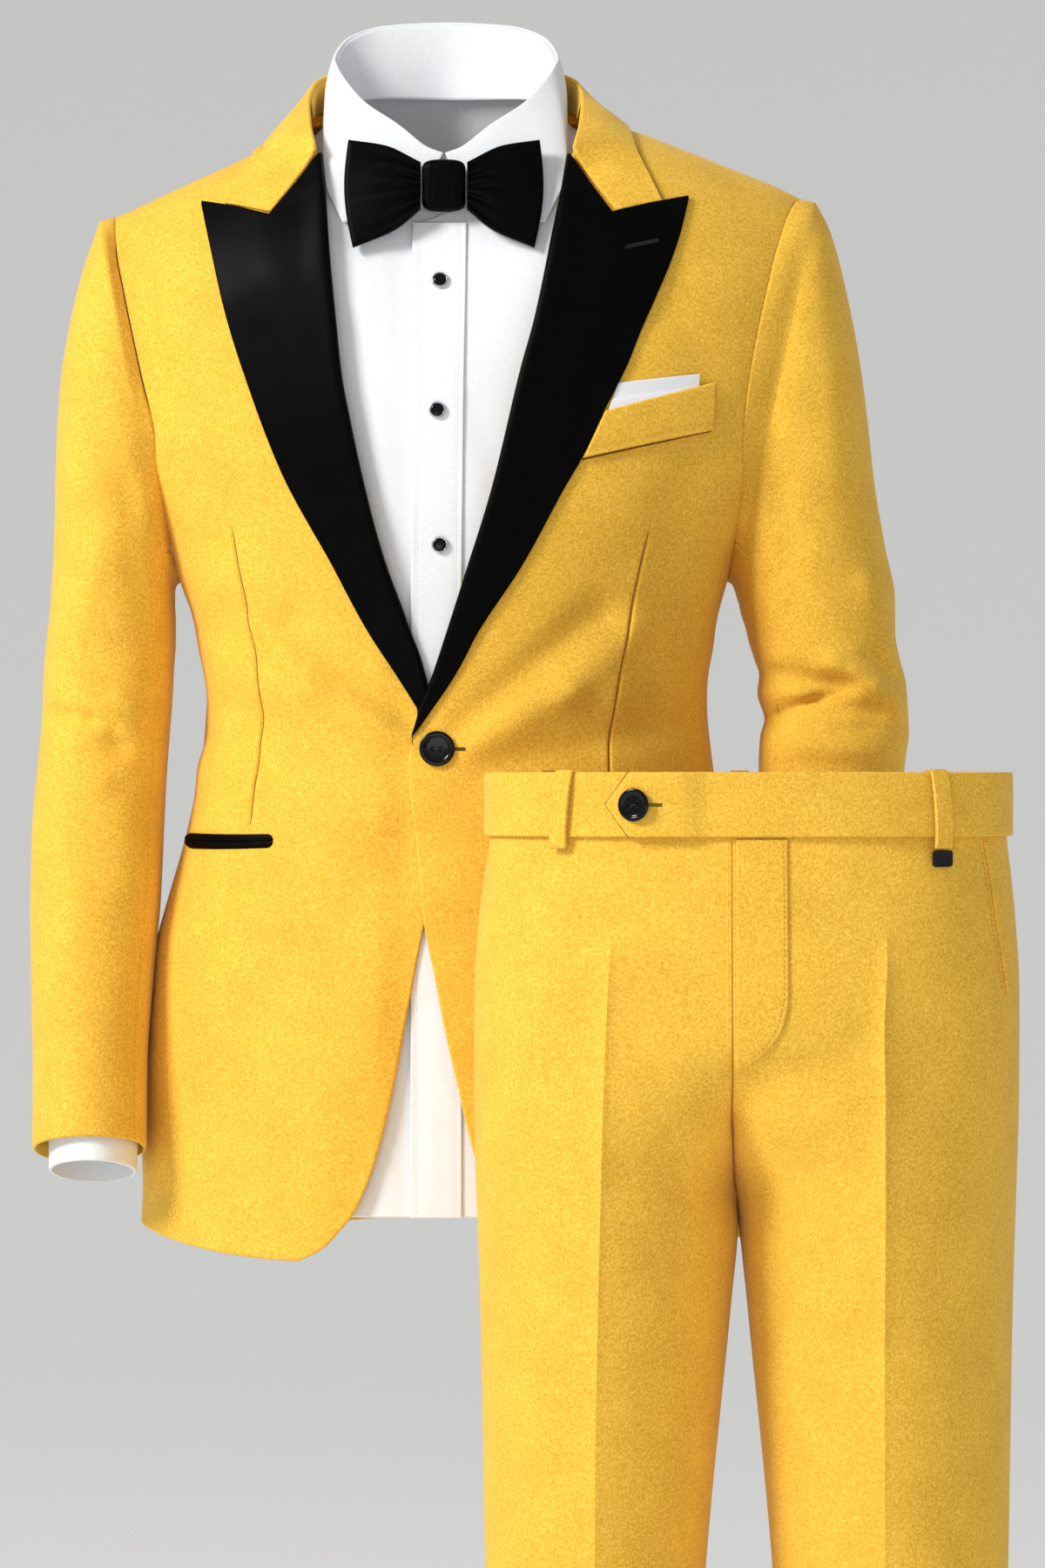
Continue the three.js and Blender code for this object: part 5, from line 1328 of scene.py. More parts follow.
def breast_pocket():
    s = crowded(40, 0.01)[None]
    t = crowded(16, 0.02)[:, None]
    step = SQUARE_STEP * smooth((t - SQUARE_FOLD) / 0.02) * (1 - 0.4 * s)
    patch("pocket_square", quad_spots(SQUARE_CORNERS, s, t), 0.5, 0.9, (0.5, 0.5, 0.8, 0), "cotton", step)
    groove = WELT_GROOVE * np.exp(-((t - 0.9) / 0.05) ** 2)
    patch("breast_welt", quad_spots(WELT_CORNERS, s, t), 1.0, 2.6, (1.5, 1.5, 1.9, 1.2), "wool", -groove)


breast_pocket()


def torso_shade_line(name, points, lift, radius):
    """A line of painted shade over the torso, between points of the front view."""
    points = np.array(points)
    marks = np.linspace(0, 1, len(points))
    x, z = (np.interp(np.linspace(0, 1, 200), marks, points[:, k]) for k in (0, 1))
    height = lift + segments_height(FRONT_FOLDS, x, z)
    painted_shade_line(name, on_front(x, z, height), front_facing(x, z), radius)


# Painted shade lines: along the welt's outline, under the collar's edges and down the darts
torso_shade_line("welt_painted_shade", [(182, -180.6), (180.7, -213), (92.4, -233.9)], 0.2, 0.6)
for side in SIDES:
    edge = [(SIGN[side] * (row["edgeX"] + 0.9), row["edgeZ"]) for row in COLLAR.rows[:4]]
    torso_shade_line(f"collar_edge_painted_shade_{side}", edge, 0.6, 0.8)
    top_z, foot_z = DART_ENDS[side]
    z = np.linspace(top_z - 8, foot_z + 1, 60)
    torso_shade_line(f"dart_painted_shade_{side}", np.stack([DART[side].at(z, "x"), z], axis=-1), -0.75, 0.42)


# Buttons and studs
PROFILE_RINGS = 64
HOLE_RINGS_FROM = 20
HOLE_EDGE = 0.5


def round_piece(name, profile, seat, facing, material, nodes, holes=(), segments=72):
    """A round piece whose profile runs from the outer foot to the middle of its face."""
    profile = np.array(profile, dtype=float)
    places = lengths_along(profile, 0)
    shape = Table(["place", "radius", "height"], [[p, *point] for p, point in zip(places, profile)])
    fine = np.linspace(0, places[-1], PROFILE_RINGS)
    radius = np.maximum(shape.at(fine, "radius"), 0.02)[:, None]
    height = shape.at(fine, "height")[:, None] + np.zeros(segments)
    up = unit(np.asarray(facing, dtype=float))
    right = unit(np.cross(up, [0, 0, 1.0]))
    over = np.cross(right, up)
    across = radius * np.cos(circle(segments))
    along = radius * np.sin(circle(segments))
    for hole_x, hole_radius, depth in holes:
        inside = smooth((hole_radius - np.hypot(across - hole_x, along)) / HOLE_EDGE + 0.5)
        height = height - depth * inside * (np.arange(PROFILE_RINGS) > HOLE_RINGS_FROM)[:, None]
    points = seat + across[..., None] * right + along[..., None] * over + height[..., None] * up
    quads = grid_quads(PROFILE_RINGS, segments, True)
    faces = quads.tolist() + end_caps(PROFILE_RINGS, segments)
    a, b, c = (points.reshape(-1, 3)[quads[segments * 30, k]] for k in range(3))
    if np.cross(b - a, c - a) @ up < 0:
        faces = [face[::-1] for face in faces]
    add_piece(name, points, faces, uv_grid(across, along), material, nodes)


# A button's profile: each radius is a share of the button's own
BUTTON_PROFILE = Table(["place", "radius", "height"], [
    [0, 0.7, 0], [1, 0.86, 0.5], [2, 0.96, 1.2], [3, 1, 1.9], [4, 0.975, 2.5], [5, 0.91, 2.85],
    [6, 0.84, 2.95], [7, 0.76, 2.8], [8, 0.68, 2.35], [9, 0.6, 2.1], [10, 0.4, 2.0], [11, 0, 1.95],
])
EYE_SHARE = 0.2
EYE_RADIUS_SHARE = 0.115
EYE_DEPTH = 1.2
THREAD_HEIGHT = 1.9
THREAD_REACH = 1.05
THREAD_APART = 0.3


def button(node_name, radius, seat, facing):
    profile = [[radius * row["radius"], row["height"]] for row in BUTTON_PROFILE.rows]
    eye = radius * EYE_SHARE
    holes = [(x, radius * EYE_RADIUS_SHARE, EYE_DEPTH) for x in (-eye, eye)]
    name = f"{node_name}_gloss"
    round_piece(name, profile, seat, facing, "gloss", [node_name], holes)
    up = unit(np.asarray(facing, dtype=float))
    right = unit(np.cross(up, [0, 0, 1.0]))
    path = seat + up * THREAD_HEIGHT + right * (eye * THREAD_REACH * np.array([-1, 0, 1]))[:, None]
    for word, shift in (("down", -THREAD_APART), ("up", THREAD_APART)):
        line = path + np.cross(right, up) * shift
        stitch_row(f"{name}_thread_{word}", line, np.tile(up, (3, 1)), "black_thread",
                   length=eye * 2.05, gap=0.02, width=0.26, height=0.22)


BUTTON_X = -4
BUTTON_Z = -426.5
button_seat = on_front(BUTTON_X, BUTTON_Z, np.array(0.7))
button("jacket_button", BUTTON_RADIUS, button_seat, front_facing(BUTTON_X, BUTTON_Z))


# The shirt
SHIRT_NECK = Table(["z", "x"], [
    [21, 80], [4, 78], [-12, 73], [-28, 64], [-42, 50], [-52, 34], [-58, 16], [-62, 0],
])
SHIRT_CLOSING_Z = -62
SHIRT_CLOSING_SPAN = 10
SHIRT_CLOSING_X = {"right": 12, "left": -21}
SHIRT_UNDER_DEPTH = 2
SHIRT_UNDER_START_X = -40
SHIRT_UNDER_SPAN = 14
SHIRT_FRONT_FOLDS = Table(FOLD_COLUMNS, [
    [-70, -110, -34, -170, 0.9, 8],
    [-58, -140, -26, -205, -0.8, 6],
    [-44, -220, -24, -292, 0.8, 7],
    [20, -112, 62, -160, 0.8, 8],
    [22, -200, 44, -262, -0.8, 7],
    [18, -240, 30, -330, 0.8, 6],
    [-34, -300, -12, -372, 0.7, 7],
    [20, -540, 34, -700, 1.3, 11],
    [-46, -560, -38, -710, 1.2, 12],
    [-16, -600, -20, -720, -0.9, 8],
])
SHIRT_BACK_FOLDS = Table(FOLD_COLUMNS, [
    [-60, -120, -46, -330, 1.4, 14],
    [70, -120, 56, -330, 1.4, 14],
    [-30, -420, -44, -690, 1.8, 16],
    [48, -420, 60, -690, 1.8, 16],
    [8, -200, 8, -560, -1.0, 18],
])
SHIRT_ROWS = np.concatenate([
    [0, 0.2], np.linspace(0.5, 10, 42), np.linspace(10.2, 18.7, 40), [18.85, 18.94, 19],
])


def shirt_edge(side, z):
    neck = SHIRT_NECK.at(z, "x") * SIGN[side]
    closing = mix(0, SHIRT_CLOSING_X[side], smooth((SHIRT_CLOSING_Z - z) / SHIRT_CLOSING_SPAN))
    return np.where(z > SHIRT_CLOSING_Z, neck, closing)


def shirt_under(side, x):
    if side == "left":
        return 0 * x
    return -SHIRT_UNDER_DEPTH * smooth((x - SHIRT_UNDER_START_X) / SHIRT_UNDER_SPAN)


def shirt_panel(side, face):
    front = face < 0
    points, normals = torso_panel(
        side, face, SHIRT_ROWS, crowded(30, 0.008), (lambda z: shirt_edge(side, z)) if front else centre_back,
        SHIRT_ARMPIT_Z, SHIRT_INSET, shirt_hem,
        under=(lambda x: shirt_under(side, x)) if front else None, neck=None if front else BACK_NECK["shirt"],
    )
    x = points[..., 0]
    z = points[..., 2]
    height = segments_height(SHIRT_FRONT_FOLDS if front else SHIRT_BACK_FOLDS, x, z)
    height = height * smooth((ridge(face, x) - z) / FOLD_FADE)
    outer = points + normals * (height - edge_fall(points, 0.9, 0.7, 0.7, 1.0))[..., None]
    inner = points + normals * (height - COTTON)[..., None]
    part, other = ("front", "back") if front else ("back", "front")
    cloth(f"shirt_{part}_{side}", outer, inner, normals, "cotton", "draped", [f"shirt_{other}_{side}"])


for side in SIDES:
    for face in (-1, 1):
        shirt_panel(side, face)


def on_shirt(x, z, lift):
    return on_front(x, z, np.asarray(lift) - SHIRT_INSET)


# The placket's edges lean a little down to this depth below its top
PLACKET_FROM = (-20.6, -22.4)
PLACKET_TO = (15, 12.6)
PLACKET_TOP_Z = -70
PLACKET_LEAN_SPAN = 250
PLACKET_LIFT = 1.4
PLACKET_SWELL = 0.5
PLACKET_WIDTH = 35
PLACKET_GROOVES = Table(["at", "depth"], [[4.4, 0.25], [31.2, 0.45]])
GROOVE_WIDTH = 0.55
STUDS = Table(["stud", "x", "z"], [[1, -2.5, -111.2], [2, -4.1, -200.5], [3, -2.5, -290.9]])
STUD_DIMPLE = 0.5
STUD_DIMPLE_SPREAD = 8


def placket_spots(s, t):
    z = mix(PLACKET_TOP_Z, SHIRT_TAIL_Z, t)
    lean = np.clip((PLACKET_TOP_Z - z) / PLACKET_LEAN_SPAN, 0, 1)
    return mix(mix(*PLACKET_FROM, lean), mix(*PLACKET_TO, lean), s), z


def placket():
    s = crowded(24, 0.012)[None]
    x, z = placket_spots(s, crowded(190, 0.001)[:, None])
    height = segments_height(SHIRT_FRONT_FOLDS, x, z)
    for stud in STUDS.rows:
        off = np.hypot(x - stud["x"], z - stud["z"])
        height = height - STUD_DIMPLE * np.exp(-(off / STUD_DIMPLE_SPREAD) ** 2)
    flat = on_shirt(x, z, PLACKET_LIFT + 0 * x)
    fall = edge_fall(flat, 0.9, 0.9, 0.6, 0.9)
    for groove in PLACKET_GROOVES.rows:
        fall = fall + groove["depth"] * np.exp(-((s * PLACKET_WIDTH - groove["at"]) / GROOVE_WIDTH) ** 2)
    outer = on_shirt(x, z, PLACKET_LIFT + PLACKET_SWELL + height - fall)
    inner = on_shirt(x, z, PLACKET_LIFT - 1.1 + height)
    cloth("shirt_placket", outer, inner, front_facing(x, z), "cotton", "folded", ["shirt_front_left"])


placket()

# A stud's dome and its metal rim, as radius and height
STUD_DOME = [[4.2, 0.6], [4.4, 1.6], [4.3, 2.5], [3.6, 2.95], [2.4, 3.25], [0, 3.4]]
STUD_RIM = [
    [4.2, 0], [5.3, 0.5], [STUD_RADIUS, 1.4], [5.45, 2.2], [4.95, 2.75], [4.5, 2.7], [4.3, 2.2], [4.25, 1.4],
]
for row in STUDS.rows:
    seat = on_shirt(row["x"], row["z"], PLACKET_LIFT + PLACKET_SWELL - 0.3)
    facing = front_facing(row["x"], row["z"])
    name = f"shirt_stud_{row['stud']}"
    round_piece(f"{name}_gloss", STUD_DOME, seat, facing, "gloss", [name], segments=40)
    round_piece(f"{name}_rim", STUD_RIM, seat, facing, "rim", [], segments=40)

CUFF = Table(["side", "midX", "midY", "endZ", "halfX", "halfY"], [
    [-1, -237.5, -68, -711.5, 29.5, 40],
    [1, 276, -68, -711.5, 29.5, 40],
])
CUFF_LENGTH = 62
CUFF_FLARE = 0.06
CUFF_GROOVE = 0.3
CUFF_GROOVE_AT = 5
WRIST_ABOVE = 0.9
WRIST_TUCK = -0.3
WRIST_PLACES = np.array([0.3, 0.6, 0.85, 1.0])
SHOULDER_PLACES = np.array([0.0, 0.15, 0.35, 0.65])
CUFF_PITCH = math.radians(15)
ARMHOLE_EASE = 8.5
ARMHOLE_EASE_RINGS = 4
ARM_ROW_STEP = 4


def cuff_point(cuff, angle, up, spread):
    angle, up = np.broadcast_arrays(angle, up)
    down = np.array([0, -math.sin(CUFF_PITCH), -math.cos(CUFF_PITCH)])
    forward = np.array([0, -math.cos(CUFF_PITCH), math.sin(CUFF_PITCH)])
    flare = 1 + CUFF_FLARE * up / CUFF_LENGTH
    point = np.array([cuff["midX"], cuff["midY"], cuff["endZ"]]) - down * up[..., None]
    point = point + forward * ((cuff["halfY"] * flare + spread) * np.sin(angle))[..., None]
    sideways = cuff["side"] * (cuff["halfX"] * flare + spread) * np.cos(angle)
    return point + xyz(sideways, 0 * sideways, 0 * sideways)


def shirt_arm(cuff, side):
    """The shirt's sleeve inside the jacket's, from the shirt's armhole to the top of its cuff."""
    points, normals, around = jacket_sleeves[side]
    loop, _ = armhole_loop(side, SHIRT_INSET, SHIRT_ARMPIT_Z)
    first = len(HEAD_PLACES)
    places = np.linspace(1, len(SLEEVE[side].rows) - SLEEVE_HEM_SPAN, SLEEVE_ROWS)
    rows = np.arange(first, SLEEVE_ROWS + first, ARM_ROW_STEP)
    under = (1 - np.cos(around)) / 2
    ease = np.clip(1 - (places[rows - first] - 1) / ARMHOLE_EASE_RINGS, 0, 1)
    inset = SLEEVE_INSET + ARMHOLE_EASE * under[None] * ease[:, None]
    rings = points[rows] - normals[rows] * inset[..., None]
    head = mix(loop[None], rings[:1], SHOULDER_PLACES[:, None, None])
    wrist = cuff_point(cuff, around, CUFF_LENGTH + WRIST_ABOVE, WRIST_TUCK)
    tail = mix(rings[-1:], wrist[None], WRIST_PLACES[:, None, None])
    arm = np.concatenate([head, rings[:-1], tail])
    arm_normals = grid_normals(arm, True, arm - arm.mean(axis=1, keepdims=True))
    cloth(f"shirt_sleeve_{side}", arm, arm - arm_normals * COTTON, arm_normals, "cotton", "hung",
          [f"shirt_front_{side}"], closed=True)


def shirt_cuff(cuff, side):
    up = (crowded(18, 0.012) * CUFF_LENGTH)[:, None]
    angle = circle(72)[None]
    face = cuff_point(cuff, angle, up, 0)
    normals = grid_normals(face, True, face - face.mean(axis=1, keepdims=True))
    groove = CUFF_GROOVE * np.exp(-((up - CUFF_GROOVE_AT) / 0.5) ** 2)
    outer = face - normals * (edge_fall(face, top=1.0, bottom=0.8) + groove)[..., None]
    inner = cuff_point(cuff, angle, up, -CUFF_WALL)
    cloth(f"shirt_cuff_{side}", outer, inner, normals, "cotton", "folded",
          [f"shirt_sleeve_{side}"], closed=True)


for side, cuff in zip(SIDES, CUFF.rows):
    shirt_arm(cuff, side)
    shirt_cuff(cuff, side)

SHIRT_COLLAR = Table([
    "station", "foldX", "foldY", "foldZ", "neckZ", "neckX", "leafX", "leafY", "leafZ",
], [
    [0, 0.8, -72, -25, -61.5, None, 12, None, -47],
    [1, 11, -70.5, -21, -58, None, 38, None, -66],
    [2, 31, -61, -4, -50, None, 68, None, -72],
    [3, 54, -45, 14, -34, None, 80, None, -48],
    [4, 69, -20, 35, -6, None, 85.5, None, -14],
    [5, 73.5, -6, 43.5, 7, None, 87, -24, None],
    [6, 76, 8, 51, 18, None, 87, 0, None],
    [7, 70, 38, 67, None, 68, 74, 41, 32],
    [8, 45, 60, 80, None, 42, 48, 64, 40],
    [9, 0, 66, 83.5, None, 0, 0, 72, 44],
])
LEAF_LIFT = 4.2
NECK_GAP = 1.4
NECK_EASE = 3.0
FOLD_WIDTH = 2.2
LEAF_BULGE = 2.2
STAND_REACH = 1.1
STAND_WALL = 1.1
STAND_OUT = 0.1
STAND_GROOVE = 0.4


def neck_seat(face, x, z):
    turn = turn_of(x, z)
    seat = torso_point(face, turn, z) - torso_normal(face, turn, z) * SHIRT_INSET
    inward = unit(np.array([-seat[0], -seat[1], 0])) * NECK_EASE
    return seat + inward + [0, 0, NECK_GAP]


def shirt_collar_spot(station, sign):
    """A station's places at the fold, at the foot of the stand and at the edge of the leaf."""
    row = SHIRT_COLLAR.rows[station]
    fold = np.array([sign * row["foldX"], row["foldY"], row["foldZ"]], dtype=float)
    if row["neckZ"] is None:
        foot = neck_seat(1, sign * row["neckX"], BACK_NECK["shirt"].at(sign * row["neckX"], "z"))
    else:
        foot = neck_seat(-1, sign * SHIRT_NECK.at(row["neckZ"], "x"), row["neckZ"])
    leaf_x = sign * row["leafX"]
    if row["leafY"] is None:
        leaf = on_shirt(leaf_x, row["leafZ"], LEAF_LIFT)
    elif row["leafZ"] is None:
        leaf = resting_on(leaf_x, row["leafY"], LEAF_LIFT - SHIRT_INSET)
    else:
        leaf = np.array([leaf_x, row["leafY"], row["leafZ"]], dtype=float)
    return fold, foot, leaf


def shirt_collar():
    spots = [shirt_collar_spot(*spot) for spot in mirrored(len(SHIRT_COLLAR.rows) - 1)]
    end = len(spots) - 1
    places = np.unique(np.concatenate([
        [0.02, 0.05, 0.09], np.linspace(0, end, 151), end - np.array([0.09, 0.05, 0.02]),
    ]))
    fold, foot, leaf = (np.array(points) for points in zip(*spots))
    fold = through(fold, places)
    out = unit(fold * [1, 1, 0])
    s = np.concatenate([np.linspace(0, 0.9, 20), LEAF_EDGE_PLACES])
    face = mix((fold + out * FOLD_WIDTH)[:, None], through(leaf, places, 3)[:, None], s[None, :, None])
    face = face + out[:, None] * (LEAF_BULGE * np.sin(math.pi * s))[None, :, None]
    turned = turned_fall("shirt_collar_fall", face, 1.4, 0.8, 1.1, 20, "cotton", ["shirt_collar_stand"])
    t = np.linspace(0, STAND_REACH, 22)
    stand = mix(turned[:, :1], through(foot, places)[:, None], t[None, :, None])
    normals = grid_normals(stand, False, stand * [1, 1, 0])
    groove = STAND_GROOVE * np.exp(-((t - 0.8) / 0.02) ** 2)[None, :, None]
    inner = stand + normals * (groove - STAND_WALL)
    cloth("shirt_collar_stand", stand + normals * STAND_OUT, inner, normals, "cotton", "folded",
          ["shirt_front_right", "shirt_front_left"], cut=stand)


shirt_collar()

# The bow tie
BOW_TOP_Z = -31
BOW_BOTTOM_Z = -66
BOW_BACK_Y = -81.9
BOW_LEAN = 0.25
WING_THIN = 4.5
WING_THICK = 8
WING_BULGE = 4.2
WING_BELLY = 3
WING_TUCK = 2
WING_TOP = Table(["s", "x", "z"], [[0, 15.6, -32.5], [0.5, 40, -20.6], [1, 64.4, -16.6]])
WING_FOOT = Table(["s", "x", "z"], [[0, 15.6, -65], [0.5, 32.5, -79], [1, 60.8, -91.3]])
# Pleats that fan out from the knot
WING_PLEATS = Table(["near", "far", "depth", "width", "reach"], [
    [0.16, 0.10, 1.9, 0.050, 0.85],
    [0.36, 0.30, 2.3, 0.055, 0.62],
    [0.52, 0.50, 2.0, 0.050, 0.95],
    [0.70, 0.74, 2.2, 0.055, 0.58],
    [0.88, 0.92, 1.6, 0.045, 0.80],
])
PLEAT_FROM = 0.1
PLEAT_RIDGE = 0.45
PLEAT_RIDGE_AT = 1.7
PLEAT_RIDGE_WIDTH = 1.1


def wing(side):
    sign = SIGN[side]
    s = crowded(54, 0.008)[None]
    t = crowded(64, 0.008)[:, None]
    x = mix(WING_TOP.at(s, "x"), WING_FOOT.at(s, "x"), t) + WING_BULGE * np.sin(math.pi * t) * s ** 2
    z = mix(WING_TOP.at(s, "z"), WING_FOOT.at(s, "z"), t)
    back = BOW_BACK_Y - WING_TUCK + (z - BOW_TOP_Z) * BOW_LEAN
    thickness = mix(WING_THICK, WING_THIN, s) + WING_BELLY * np.sin(math.pi * t) * np.sin(math.pi * s)
    for pleat in WING_PLEATS.rows:
        off = (t - mix(pleat["near"], pleat["far"], s)) / pleat["width"]
        ridge_beside = PLEAT_RIDGE * np.exp(-((off - PLEAT_RIDGE_AT) / PLEAT_RIDGE_WIDTH) ** 2)
        shown = 1 - smooth((s - PLEAT_FROM) / pleat["reach"])
        thickness = thickness + pleat["depth"] * shown * (ridge_beside - np.exp(-off ** 2))
    front = xyz(sign * x, back - thickness, z)
    fall = edge_fall(front, right=2.4, top=2.6, bottom=2.6)
    front[..., 1] += fall
    rear = xyz(sign * x, back - 0.4 + 0.3 * fall, z)
    ahead = xyz(0 * x, -1, 0 * z)
    shell(f"bow_wing_{side}_satin", front, rear, ahead, "satin", [f"bow_wing_{side}"])


for side in SIDES:
    wing(side)

KNOT_HALF = 15.2
KNOT_DEPTH = 17
KNOT_WAIST = 0.05
KNOT_SQUARENESS = 0.55
KNOT_CREASES = Table(["at", "depth"], [[-0.52, 0.3], [-0.1, 0.2], [0.36, 0.35]])
KNOT_END_ROWS = np.array([0.84, 0.92, 0.965, 0.99, 0.999])
KNOT_COLUMNS = 96


def knot():
    rows = np.concatenate([-KNOT_END_ROWS[::-1], np.linspace(-0.7, 0.7, 22), KNOT_END_ROWS])[:, None]
    angle = circle(KNOT_COLUMNS)[None]
    shrink = (1 - np.abs(rows) ** 9) ** (1 / 2.2)
    waisted = 1 - KNOT_WAIST * (1 - rows ** 2)
    across = signed_power(np.sin(angle), KNOT_SQUARENESS)
    ahead = signed_power(np.cos(angle), KNOT_SQUARENESS)
    z = mix(BOW_BOTTOM_Z, BOW_TOP_Z, (rows + 1) / 2)
    crease = sum(
        row["depth"] * np.exp(-((across - row["at"] - 0.1 * rows) / 0.07) ** 2) for row in KNOT_CREASES.rows)
    y = BOW_BACK_Y - KNOT_DEPTH / 2 * (1 + ahead * shrink) + crease * np.clip(ahead, 0, 1)
    points = xyz(KNOT_HALF * waisted * shrink * across, y, z)
    quads = grid_quads(len(rows), KNOT_COLUMNS, True).tolist()
    caps = end_caps(len(rows), KNOT_COLUMNS)
    a, b, c = points.reshape(-1, 3)[quads[KNOT_COLUMNS * 14][:3]]
    if np.cross(b - a, c - a)[1] > 0:
        quads = [quad[::-1] for quad in quads]
    else:
        caps = [cap[::-1] for cap in caps]
    add_piece("bow_knot_satin", points, quads + caps, uv_grid(angle * KNOT_HALF, z), "satin", ["bow_knot"])


knot()

# The trousers
TROUSER = Table(["z", "right", "left", "front", "back", "centre", "gap"], [
    [-430, 31.8, 363, 110, 108, 183, 0.15],
    [WAIST_SEAM_Z, 31.8, 363, 111, 109, 183, 0.15],
    [-506, 28.5, 365.4, 113, 112, 183, 0.15],
    [-540, 24.3, 368.7, 115, 116, 183, 0.15],
    [-580, 21.8, 370.9, 117, 119, 183, 0.15],
    [-650, 21.6, 370.9, 116, 120, 184, 0.15],
    [-700, 22.5, 370, 111, 117, 188, 0.15],
    [CROTCH_Z, 24, 369, 106, 111, 192, 0.8],
    [-784, 25.5, 367.6, 97, 99, 192, 5.2],
    [-951, 28.8, 364.8, 85, 86, 192, 21.2],
    [-1150, 34, 360, 71, 73, 195, 33],
    [LEG_HEM_Z, 40, 352, 60, 62, 197, 39],
])
CREASE = Table(["z", "right", "left", "height"], [
    [-540, 108, 279, 0], [-560, 107, 279, 2.4], [-600, 105, 277, 4], [-700, 101.5, 278, 4],
    [-951, 98, 280, 2.5], [LEG_HEM_Z, 98, 294, 2],
])
BODY_ROUNDNESS = 2.6
LEG_FULLNESS = 1.7
LEG_POINT = 1.9
CREASE_SPREAD = 11
PARTING_Z = -605
PARTING_SPAN = 128
SIDE_LEAN = 1.2
TROUSER_FRONT_FOLDS = Table(FOLD_COLUMNS, [
    [184, -640, 124, -618, -1.8, 12],
    [180, -672, 114, -640, 1.8, 14],
    [178, -706, 120, -690, -1.8, 14],
    [196, -640, 262, -612, -1.8, 12],
    [200, -676, 268, -642, 1.8, 14],
    [202, -706, 262, -690, -1.8, 14],
    [52, -560, 60, -700, 1.5, 18],
    [340, -600, 334, -720, 1.4, 18],
    [70, -850, 128, -866, 1.2, 22],
    [250, -862, 312, -846, 1.2, 22],
    [60, -1010, 120, -1030, -1.6, 26],
    [262, -1030, 318, -1012, -1.6, 26],
    [62, -1330, 126, -1316, 1.4, 28],
    [268, -1318, 322, -1334, 1.4, 28],
])
TROUSER_BACK_FOLDS = Table(FOLD_COLUMNS, [
    [186, -690, 110, -640, -2.2, 15],
    [184, -730, 100, -700, 2.0, 15],
    [206, -690, 280, -640, -2.2, 15],
    [208, -730, 292, -700, 2.0, 15],
    [60, -520, 90, -600, 1.4, 20],
    [330, -520, 300, -600, 1.4, 20],
    [60, -1000, 130, -1016, -2.2, 20],
    [58, -1040, 126, -1052, 1.8, 18],
    [266, -1016, 334, -1000, -2.2, 20],
    [262, -1052, 330, -1040, 1.8, 18],
])


def leg_share(z):
    return smooth((PARTING_Z - z) / PARTING_SPAN)


def trouser_x(leg, q, z):
    inner = TROUSER.at(z, "centre") + SIGN[leg] * TROUSER.at(z, "gap")
    outer = TROUSER.at(z, leg)
    return mix((inner + outer) / 2, outer, q)


def trouser_point(leg, face, place, z):
    place, z = np.broadcast_arrays(np.asarray(place, dtype=float), np.asarray(z, dtype=float))
    folded = np.where(place > 1, 2 - place, place)
    q = np.where(folded < -1, -2 - folded, folded)
    shown = face * np.where((place > 1) | (folded < -1), -1, 1)
    x = trouser_x(leg, q, z)
    right = TROUSER_MID_X - TROUSER.at(z, "right")
    half = np.where(x < TROUSER_MID_X, right, TROUSER.at(z, "left") - TROUSER_MID_X)
    across = np.minimum(np.abs(x - TROUSER_MID_X) / half, 1)
    depth = np.where(shown < 0, TROUSER.at(z, "front"), TROUSER.at(z, "back"))
    body = (1 - across ** BODY_ROUNDNESS) ** (1 / BODY_ROUNDNESS)
    lobe = (1 - np.abs(q) ** LEG_FULLNESS) ** (1 / LEG_POINT)
    crease = CREASE.at(z, "height") * np.exp(-np.abs(x - CREASE.at(z, leg)) / CREASE_SPREAD)
    reach = depth * mix(body, lobe, leg_share(z)) + crease * (1 - q * q)
    return xyz(x, TROUSER_MID_Y + shown * reach, z)


def trouser_normal(leg, face, q, z):
    q, z = np.broadcast_arrays(np.asarray(q, dtype=float), np.asarray(z, dtype=float))
    at_seam = (q <= -1) & (leg_share(z) < 1)
    inward = np.where(at_seam, q, q - 0.02)
    across = trouser_point(leg, face, q + 0.02, z) - trouser_point(leg, face, inward, z)
    up = trouser_point(leg, face, q, z + 1) - trouser_point(leg, face, q, z - 1)
    normal = unit(np.cross(across, up))
    away = dot(normal, xyz(SIGN[leg] * q * SIDE_LEAN, face + 0 * q, 0 * q)) < 0
    normal = np.where(away[..., None], -normal, normal)
    flat = normal.copy()
    flat[..., 0] *= leg_share(z)
    return np.where(at_seam[..., None], unit(flat), normal)


def trouser_q(leg, x, z):
    middle = trouser_x(leg, 0, z)
    return (x - middle) / (trouser_x(leg, 1, z) - middle)


def on_trouser(leg, x, z, lift):
    q = trouser_q(leg, x, z)
    return trouser_point(leg, -1, q, z) + trouser_normal(leg, -1, q, z) * np.asarray(lift)[..., None]


TROUSER_ROWS = np.concatenate([
    [WAIST_SEAM_Z + 3, WAIST_SEAM_Z], np.linspace(WAIST_SEAM_Z - 3, -800, 78),
    np.linspace(-808, LEG_HEM_Z + 6, 36), LEG_HEM_Z + np.array([2.5, 1, 0.3, 0]),
])
HALF_COLUMNS = 36
PRESSED = 1.3
PRESSED_SPREAD = 3.2
PRESSED_FULL_HEIGHT = 4
SIDE_FADE = 18
LEG_SEAM_ROLL = 0.9


